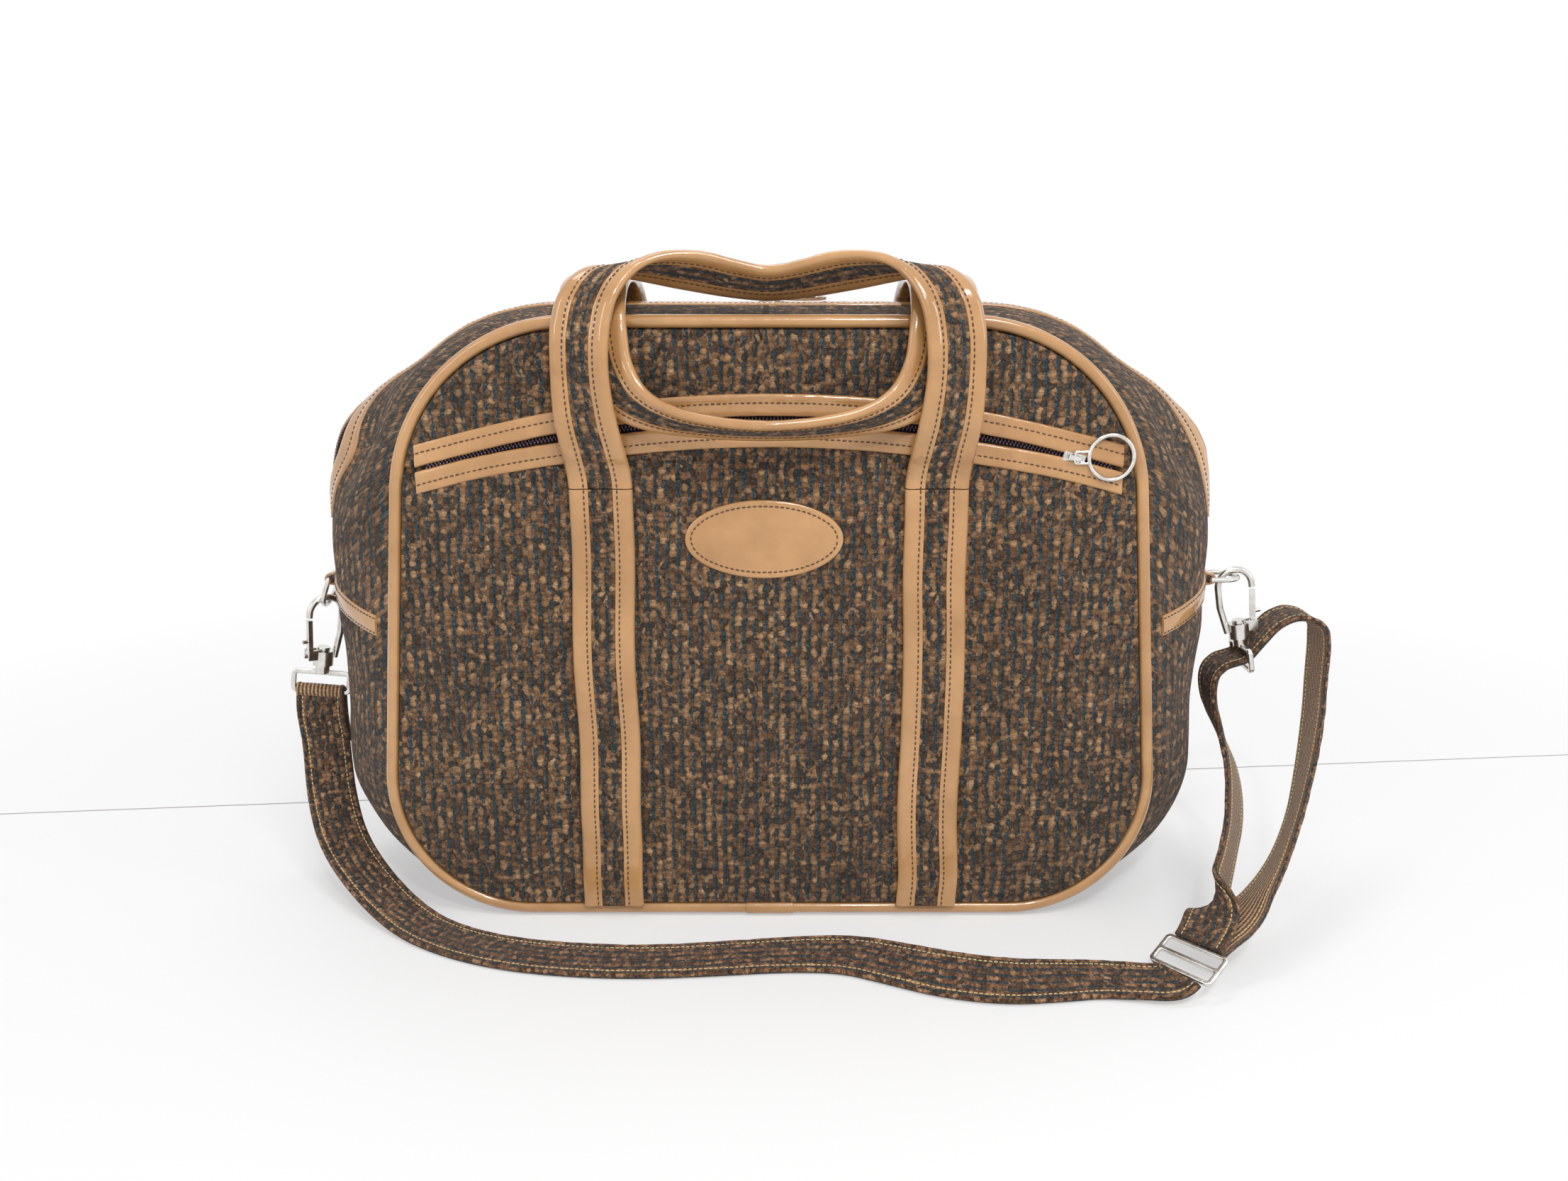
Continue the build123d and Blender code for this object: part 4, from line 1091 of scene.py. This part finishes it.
BACK_LOOP = [
    [(-72.0, tack_at.y, tack_at.z), (-105.0, tack_at.y, tack_at.z)],
    [(-72.2, free_at.y, free_at.z), (-105.2, free_at.y, free_at.z)],
    [(-72.5, 113.6, 327.0), (-106.0, 113.6, 327.0)],
    [(-73.0, 112.0, 334.0), (-107.0, 112.0, 334.0)],
    [(-73.0, 105.0, 340.0), (-107.0, 105.0, 340.0)],
    [(-73.0, 89.0, 348.0), (-107.0, 89.0, 348.0)],
    [(-73.0, 70.0, 353.5), (-107.0, 70.0, 353.5)],
    [(-73.0, 50.0, 355.5), (-107.0, 50.0, 355.5)],
    [(-73.0, 30.0, 355.0), (-107.0, 30.0, 355.0)],
    [(-73.0, 14.0, 352.5), (-107.0, 14.0, 352.5)],
    [(-73.0, 2.0, 348.0), (-107.0, 2.0, 348.0)],
    [(-72.5, -10.5, 339.5), (-106.0, -9.5, 338.5)],
    [(-71.5, -15.5, 330.0), (-104.0, -10.6, 327.0)],
    [(-69.0, -19.0, 314.0), (-98.5, -11.2, 308.0)],
    [(-61.0, -23.0, 300.0), (-86.0, -12.4, 290.0)],
    [(-45.0, -29.5, 291.0), (-65.0, -13.2, 280.5)],
    [(-23.0, -36.0, 286.0), (-33.0, -13.7, 276.5)],
    [(0.0, -39.0, 284.5), (0.0, -14.2, 275.5)],
]
for name, rows in (("front_handle", FRONT_LOOP), ("back_handle", BACK_LOOP)):
    make_strap(name, smooth(mirrored(rows), 6), name, (1, -1))

# %% [markdown]
# ## The zips
#
# Under the bindings lie two woven tapes, and along their edges a coil. One turn of the coil is a
# small bead set across the tape. The two sides are offset by half a turn, so they mesh where the
# zip is shut and part where it stands open.

# %% Tapes and coils
FLAT = [(0.0, -0.3), (0.0, 0.3), (1.0, 0.3), (1.0, -0.3)]
beads = {}


def bead_row(heap, line, pitch, start):
    """Beads across a line, each like one turn of a zip's coil."""
    points, faces = beads.setdefault(heap, ([], []))
    for at, along, up in along_line(line, pitch, start):
        across = along.cross(up).normalized()
        base = len(points)
        for p in STITCH_POINTS:
            points.append(at + across * (p.z * 1.35) + along * (p.x * 0.62) + up * (p.y * 0.8))
        faces += [tuple(base + k for k in face) for face in STITCH_FACES]


for name, sign in (("front", -1), ("back", 1)):
    tape, line = [], []
    for h, side in round_the_zip(221.5, 220):
        open_by = gape(h, side) + 0.3
        tape.append([skin(h, side, beside_zip(h, sign * d), -2.9) for d in (open_by, 9.8 + 0.4 * open_by)])
        middle = skin(h, side, beside_zip(h, sign * (open_by + 0.55)), -1.15)
        line.append((middle, (middle - skin(h, side, 0.5, -9.0)).normalized()))
    piece = sweep(f"main_zip_{name}_ribbon", tape, FLAT, [TAPE], flip=flip_of(tape))
    hand_in(piece, "zip_tape", "bag", f"main_zip_{name}_tape")
    bead_row("main", line, 1.9, 0.5 if sign < 0 else 1.0)

ribbons = []
for start, stop in ((0.35, 9.8), (-0.35, -9.8)):
    tape, line = [], []
    for x in xs[2:-2]:
        tape.append([Vector((x, -0.4, mouth(x, d))) for d in (start, stop)])
        line.append((Vector((x, -2.1, mouth(x, start * 2.4))), Vector((0.0, -1.0, 0.0))))
    ribbons.append(sweep("ribbon", tape, FLAT, [TAPE]))
    bead_row("pocket", line, 1.9, 0.5 if start < 0 else 1.0)
hand_in(joined(ribbons, "pocket_zip_ribbons"), "zip_tape", "bag", "pocket_zip_tapes")
for heap, (points, faces) in beads.items():
    piece = mesh_piece(f"{heap}_zip_teeth", points, faces, [(0, 0)] * sum(len(f) for f in faces), [COIL])
    hand_in(settle(piece), "zip_coil", "bag", f"{heap}_zip_coil")

# %% [markdown]
# ## The oval patch
#
# A blank oval of the same vinyl is stitched to the pocket. It starts as a filled circle that is
# inset ring by ring. Each ring then gets its own distance from the edge and its own height: a thin
# cut edge, a shallow groove where the stitches pull it down, and a flat middle.

# %% Model the patch
RINGS = [(0.0, 0.5), (0.5, 1.1), (1.8, 1.25), (3.3, 1.0), (4.8, 1.25), (8.0, 1.4), (12.0, 1.45),
         (17.0, 1.45)]
PATCH_WIDE, PATCH_TALL, PATCH_X, PATCH_Z = 42, 21, -2.5, 221
bpy.ops.object.select_all(action="DESELECT")
bpy.ops.mesh.primitive_circle_add(vertices=96, radius=1, fill_type="NGON")
patch = bpy.context.object
patch.name = "oval_patch_cover"
bpy.ops.object.mode_set(mode="EDIT")
bpy.ops.mesh.select_all(action="SELECT")
for _ in RINGS[1:]:
    bpy.ops.mesh.inset(thickness=0.1)
bpy.ops.mesh.poke()
bpy.ops.object.mode_set(mode="OBJECT")


def on_pocket(x, z, height):
    return Vector((x, -pocket_front(x, z) - height, z))


for vertex in patch.data.vertices:
    r = vertex.co.length
    gap, height = RINGS[min(round((1 - r) * 10), len(RINGS) - 1)]
    if r > 1e-4:
        x, z = vertex.co.x / r * (PATCH_WIDE - gap), vertex.co.y / r * (PATCH_TALL - gap)
    else:
        x, z = 0.0, 0.0
    vertex.co = spot(on_pocket(x + PATCH_X, z + PATCH_Z, height))
patch.data.materials.append(TAN)
settle(patch, HEART)
shell = patch.modifiers.new("thickness", "SOLIDIFY")
shell.thickness = 0.0011
shell.offset = -1
bpy.ops.object.modifier_apply(modifier=shell.name)
hand_in(patch, "vinyl", "bag", "oval_patch")
ring = []
for step in range(201):
    a = 2 * pi * step / 200
    ring.append((on_pocket(38.7 * cos(a) - 2.5, 17.7 * sin(a) + 221, 1.1), Vector((0.0, -1.0, 0.0))))
sow("bag", ring, pitch=2.9)

# %% [markdown]
# ## Base and lining
#
# Under the bag lies a stiffened base of brown vinyl, of which the photograph shows only a dark edge.
# Inside there is a thin dark lining, seen through the open end of the zip, and the CAD's board.

# %% Base and lining
CORNER, CORNER_X, CORNER_Y, BASE_MIDDLE, BASE_RISE = 22, 128, 48, 82.5, 2.8
bpy.ops.object.select_all(action="DESELECT")
bpy.ops.mesh.primitive_circle_add(vertices=80, radius=1, fill_type="NGON")
base = bpy.context.object
base.name = "base_cover"
for vertex in base.data.vertices:
    x, y = vertex.co.x, vertex.co.y
    wide = x * CORNER + (CORNER_X if x > 0 else -CORNER_X)
    deep = BASE_MIDDLE + y * CORNER + (CORNER_Y if y > 0 else -CORNER_Y)
    vertex.co = spot((wide, deep, BASE_RISE))
plate = base.modifiers.new("thickness", "SOLIDIFY")
plate.thickness = 0.0028
plate.offset = -1
bpy.ops.object.modifier_apply(modifier=plate.name)
rounding = base.modifiers.new("edges", "BEVEL")
rounding.width = 0.0009
rounding.segments = 3
bpy.ops.object.modifier_apply(modifier=rounding.name)
base.data.materials.append(BROWN)
bpy.ops.object.shade_smooth_by_angle(angle=radians(40))
hand_in(base, "vinyl", "bag", "base_panel")


def lining_half(edge):
    """Lays half the lining: the flat part inside a face, and then the part inside the gusset."""
    def lay(u, w):
        side = 1 if w < 0.5 else -1
        h = 5 * abs(2 * w - 1)
        z = rim(h, 0.5)[0].y * 0.996
        stop = beside_zip(h, (1 if edge else -1) * (10.6 if z > 219 else 0.02))
        first = 0.03 if edge == 0 else 0.97
        if u < 0.3:
            p = skin(h, side, first, -4.4)
            middle = skin(2.5, 1, first, -4.4)
            p = Vector((0, middle.y, middle.z)) + (p - Vector((0, middle.y, middle.z))) * (u / 0.3)
        else:
            station = first + (stop - first) * (u - 0.3) / 0.7
            p = skin(h, side, station, -4.4)
        return p, (u * 100, side * h * 90)
    return lay


halves = [cloth("lining_half", lining_half(edge), 40, 120, LINING, 0.8) for edge in (0, 1)]
hand_in(joined(halves, "lining_cloth"), "lining", "bag", "lining")

# %% [markdown]
# ## The shoulder strap
#
# The strap is one long flat cord. It hangs from the left swivel loop, lies in front of the bag on
# its edge, and reaches the slide. From the slide it goes up, through the right swivel loop, over in
# an arch, and back. Its two edges are smooth NURBS lines through the given rows. The mesh follows
# the points that Blender reads from them, with tweed outside, ribbed webbing inside, thick edges
# and two lines of cream chain stitch.

# %% Rows of the strap: middle, direction of its width in degrees, and roll


def web_row(x, y, z, yaw, roll):
    """One row of the strap, 28 mm wide."""
    flat = 14 * cos(radians(roll))
    reach = Vector((flat * cos(radians(yaw)), flat * sin(radians(yaw)), 14 * sin(radians(roll))))
    return [Vector((x, y, z)) - reach, Vector((x, y, z)) + reach]


def floor_row(x, y, yaw, roll, lift=0.0):
    """A row that lies on the floor on its lower edge."""
    return web_row(x, y, 0.2 + lift + 14 * sin(radians(abs(roll))) + 1.7 * cos(radians(roll)), yaw, roll)


RUN = [
    web_row(-273.1, 66.6, 110.4, 10, -8),
    web_row(-273.2, 64.4, 103.0, 10, -7),
    web_row(-272.8, 65.4, 93.0, 10, -3),
    web_row(-271.8, 65.8, 82.0, 10, 0),
    web_row(-270.6, 63.0, 68.0, 12, 2),
    web_row(-266.0, 52.0, 50.0, 20, 4),
    web_row(-254.0, 32.0, 30.5, 34, 6),
    web_row(-231.0, 9.0, 14.5, 48, 4),
    floor_row(-203.0, -15.0, 50, 2, 1.5),
    floor_row(-176.0, -34.0, 58, 2),
    floor_row(-143.0, -49.0, 70, 4),
    floor_row(-108.0, -56.5, 82, 5),
    floor_row(-68.0, -59.0, 90, 5),
    floor_row(-28.0, -56.0, 94, 6),
    floor_row(10.0, -52.0, 94, 8),
    floor_row(42.0, -54.0, 76, 14),
    floor_row(66.0, -66.0, 62, 20),
    floor_row(92.0, -79.0, 74, 24),
    floor_row(120.0, -84.5, 90, 22),
    floor_row(146.0, -81.5, 98, 16),
    floor_row(168.0, -77.5, 96, 10),
    floor_row(188.0, -80.5, 84, 8, 1.0),
    web_row(205.2, -84.5, 6.4, 128, 0),
    web_row(208.9, -81.5, 9.5, 130, 0),
]
LOOP = [
    web_row(222.4, -70.1, 20.3, 130, 0),
    web_row(226.9, -66.4, 23.7, 130, 0),
    web_row(238.0, -47.0, 29.0, 58, 16),
    web_row(254.0, -17.0, 45.0, 62, 14),
    web_row(266.0, 10.0, 60.0, 64, 10),
    web_row(272.0, 34.0, 75.0, 70, 5),
    web_row(269.5, 52.0, 92.0, 80, 0),
    web_row(264.0, 63.0, 110.0, 88, 0),
    web_row(264.5, 67.5, 124.5, 90, 0),
    web_row(270.5, 68.0, 131.5, 90, 0),
    web_row(277.0, 68.0, 133.5, 90, 0),
    web_row(283.9, 68.0, 135.7, 90, 0),
    web_row(290.9, 67.5, 145.7, 90, 0),
    web_row(299.9, 65.5, 158.5, 90, 0),
    web_row(311.9, 63.0, 163.7, 90, 0),
    web_row(323.9, 60.0, 158.5, 90, 0),
    web_row(325.5, 57.5, 147.5, 90, 0),
    web_row(323.5, 53.0, 128.0, 88, 0),
    web_row(319.0, 41.0, 106.0, 84, 2),
    web_row(309.0, 21.0, 83.0, 76, 6),
    web_row(294.0, -5.0, 61.0, 66, 12),
    web_row(274.0, -31.0, 42.0, 58, 16),
    web_row(251.0, -52.0, 27.0, 52, 16),
    web_row(228.5, -65.0, 19.2, 130, 0),
    web_row(223.8, -69.0, 16.7, 130, 0),
]

# %% Read smooth lines and sweep the strap


def flow(points):
    """The points of a smooth NURBS line with these control points, in drawn millimetres."""
    curve = bpy.data.curves.new("route", "CURVE")
    curve.dimensions = "3D"
    curve.resolution_u = 10
    spline = curve.splines.new("NURBS")
    spline.points.add(len(points) - 1)
    for control, point in zip(spline.points, points):
        control.co = (*point, 1.0)
    spline.order_u = 3
    spline.use_endpoint_u = True
    holder = bpy.data.objects.new("route", curve)
    mesh = bpy.data.meshes.new_from_object(holder)
    found = [v.co.copy() for v in mesh.vertices]
    bpy.data.objects.remove(holder)
    bpy.data.meshes.remove(mesh)
    return found


def squared(rows, width):
    """The same rows with one width, square to the way that the strap runs."""
    middles = [(a + b) * 0.5 for a, b in rows]
    made = []
    for i, (a, b) in enumerate(rows):
        along = (middles[min(i + 1, len(rows) - 1)] - middles[max(i - 1, 0)]).normalized()
        wide = (b - a) - along * (b - a).dot(along)
        wide = wide.normalized() * (width / 2)
        made.append([middles[i] - wide, middles[i] + wide])
    return made


WEB = [(0.0, 0.0), (0.012, 1.1), (0.045, 1.85), (0.09, 1.75), (0.13, 1.35), (0.18, 1.55), (0.5, 1.65),
       (0.82, 1.55), (0.87, 1.35), (0.91, 1.75), (0.955, 1.85), (0.988, 1.1), (1.0, 0.0),
       (0.988, -1.1), (0.955, -1.8), (0.91, -1.7), (0.87, -1.3), (0.82, -1.5), (0.5, -1.55),
       (0.18, -1.5), (0.13, -1.3), (0.09, -1.7), (0.045, -1.8), (0.012, -1.1)]
FACES = [0] * 14 + [1] * 9 + [0]


def web_strap(name, route, carried, *nodes):
    """One free stretch of the strap, swept with its tweed, webbing and chain stitch. The carried pieces are
    not used.
    """
    rows = squared(list(zip(flow([a for a, b in route]), flow([b for a, b in route]))), 28.0)
    middles = flow([(a + b) * 0.5 for a, b in route])
    length = sum((b - a).length for a, b in zip(middles, middles[1:]))
    piece = sweep(name, rows, WEB, [STRAP_TWEED, WEBBING], slots=FACES, pucker=0.35, seed=len(name))
    hand_in(piece, "webbing", "bag", *nodes)
    for face in (1, -1):
        for share in (0.14, 0.86):
            sow("strap", seam(rows, share, 1.4, flip=face), pitch=2.7, length=1.15, thick=0.42)
    spot(middles[0])
    [spot(p) for p in middles]
    print(name, "is", round(length), "mm long")


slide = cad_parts["strap_slide"]
web_strap("shoulder_strap_long", RUN, [slide], "shoulder_strap_run", "shoulder_strap_end")
web_strap("shoulder_strap_bight", LOOP, [], "shoulder_strap_loop")

# %% [markdown]
# The strap's left end is folded round the loop's lower bar and sewn to itself, so a second layer
# lies behind the first for 30 mm.

# %% The folded end
FOLD = [
    web_row(-273.1, 66.3, 110.0, 10, -8),
    web_row(-273.1, 65.6, 113.0, 10, -8),
    web_row(-273.1, 67.0, 115.6, 10, -8),
    web_row(-273.1, 69.4, 115.4, 10, -8),
    web_row(-273.1, 71.0, 112.6, 10, -8),
    web_row(-273.1, 70.4, 106.0, 10, -7),
    web_row(-272.6, 69.0, 97.0, 10, -3),
    web_row(-271.9, 68.6, 86.0, 10, 0),
    web_row(-271.6, 68.0, 80.0, 10, 0),
]
THIN = [(p, h * 0.85) for p, h in WEB]
folded_end = sweep("shoulder_strap_fold", smooth(FOLD, 4), THIN, [STRAP_TWEED, WEBBING], slots=FACES)
hand_in(folded_end, "webbing", "bag")

# %% [markdown]
# ## Metal, and the last bookkeeping
#
# Every metal fitting keeps its CAD mesh, so here it only gets the worn nickel. The stitches of each
# body become one piece now that every seam has been sown.

# %% Finish the metal and the stitches
METAL = ["pocket_slider", "pocket_ring_pull", "main_slider", "main_ring_pull", "left_d_ring", "right_d_ring",
         "left_hook", "right_hook", "left_hook_gate", "right_hook_gate", "left_swivel_loop",
         "right_swivel_loop", "strap_slide"]
for name in METAL:
    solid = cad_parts[name]
    for slot in solid.material_slots:
        slot.material = NICKEL
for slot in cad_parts["base_board"].material_slots:
    slot.material = BOARD
for heap, (points, faces) in sewn.items():
    body = "bag" if heap == "strap" else heap
    made = CHAIN if heap == "strap" else STITCH
    piece = mesh_piece(f"{heap}_stitches", points, faces, [(0, 0)] * sum(len(f) for f in faces), [made])
    hand_in(settle(piece), "webbing" if heap == "strap" else "vinyl", body)
print("metal nodes", len(METAL))

# %% [markdown]
# ## Floor, light and background
#
# The bag stands on a plain pale floor that runs back to a faint line, with white all round. The
# world gives most of the light, and a few large soft lamps add the glints on vinyl and metal. Only
# the camera and the mirror images on gloss and metal see the white, so the bag's own light stays
# plain.

# %% Set the stage
pale, tree, shader = finish("pale floor", 0.6)
shader.inputs["Base Color"].default_value = (0.86, 0.87, 0.87, 1.0)
glow = tree.nodes.new("ShaderNodeEmission")
glow.inputs["Color"].default_value = (1.0, 1.0, 1.0, 1.0)
path_node = tree.nodes.new("ShaderNodeLightPath")
mixer = tree.nodes.new("ShaderNodeMixShader")
reach = node(tree, "ShaderNodeVectorMath", Vector=tree.nodes.new("ShaderNodeTexCoord").outputs["Object"])
reach.operation = "LENGTH"
far = node(tree, "ShaderNodeMapRange", Value=reach.outputs["Value"])
for key, value in (("From Min", 0.25), ("From Max", 0.9), ("To Min", 0.42), ("To Max", 1.0)):
    far.inputs[key].default_value = value
looked_at = sums(tree, "MAXIMUM", path_node.outputs["Is Camera Ray"], path_node.outputs["Is Glossy Ray"])
tree.links.new(times(tree, looked_at, far.outputs[0]), mixer.inputs[0])
tree.links.new(shader.outputs[0], mixer.inputs[1])
tree.links.new(glow.outputs[0], mixer.inputs[2])
tree.links.new(mixer.outputs[0], tree.nodes["Material Output"].inputs["Surface"])
bpy.ops.object.select_all(action="DESELECT")
bpy.ops.mesh.primitive_plane_add(size=30, location=(0, 0, -0.0001))
ground = bpy.context.object
ground.name = "floor"
ground.data.materials.append(pale)
line_finish, tree, shader = finish("faint line", 0.8)
shader.inputs["Base Color"].default_value = (0.3, 0.28, 0.27, 1.0)
bpy.ops.mesh.primitive_plane_add(size=1)
line = bpy.context.object
line.name = "floor_line"
line.data.transform(Matrix.Diagonal((4.0, 0.0011, 1.0, 1.0)))
line.data.transform(Matrix.Rotation(radians(5.7), 4, "Z"))
line.data.transform(Matrix.Translation(spot((0, 196, 0.1))))
line.data.materials.append(line_finish)

bpy.context.scene.view_settings.view_transform = "Standard"
world = bpy.data.worlds.new("soft white")
bpy.context.scene.world = world
world.use_nodes = True
tree = world.node_tree
background = tree.nodes["Background"]
ray = tree.nodes.new("ShaderNodeLightPath")
seen = sums(tree, "MAXIMUM", ray.outputs["Is Camera Ray"], ray.outputs["Is Transmission Ray"])
seen = sums(tree, "MAXIMUM", seen, ray.outputs["Is Glossy Ray"])
level = plus(tree, times(tree, seen, 0.45), 0.55)
tree.links.new(level, background.inputs["Strength"])
background.inputs["Color"].default_value = (1.0, 1.0, 1.0, 1.0)


def softbox(name, at, size, power):
    """A large soft lamp that points at the middle of the bag."""
    data = bpy.data.lights.new(name, "AREA")
    data.shape = "RECTANGLE"
    data.size, data.size_y = size
    data.energy = power
    lamp = bpy.data.objects.new(name, data)
    lamp.location = at
    lamp.rotation_euler = (Vector((0.0, 0.0, 0.2)) - Vector(at)).to_track_quat("-Z", "Y").to_euler()
    bpy.context.scene.collection.objects.link(lamp)


softbox("key", (0.45, -1.0, 1.5), (0.5, 0.35), 9)
softbox("left strip", (-1.1, -1.1, 0.8), (0.12, 0.9), 3.2)
softbox("right strip", (1.3, -0.6, 0.7), (0.12, 0.8), 2.3)
softbox("glint", (0.12, -1.0, 0.95), (0.08, 0.08), 3.2)
softbox("top", (-0.2, 0.3, 1.9), (1.2, 0.4), 6.3)
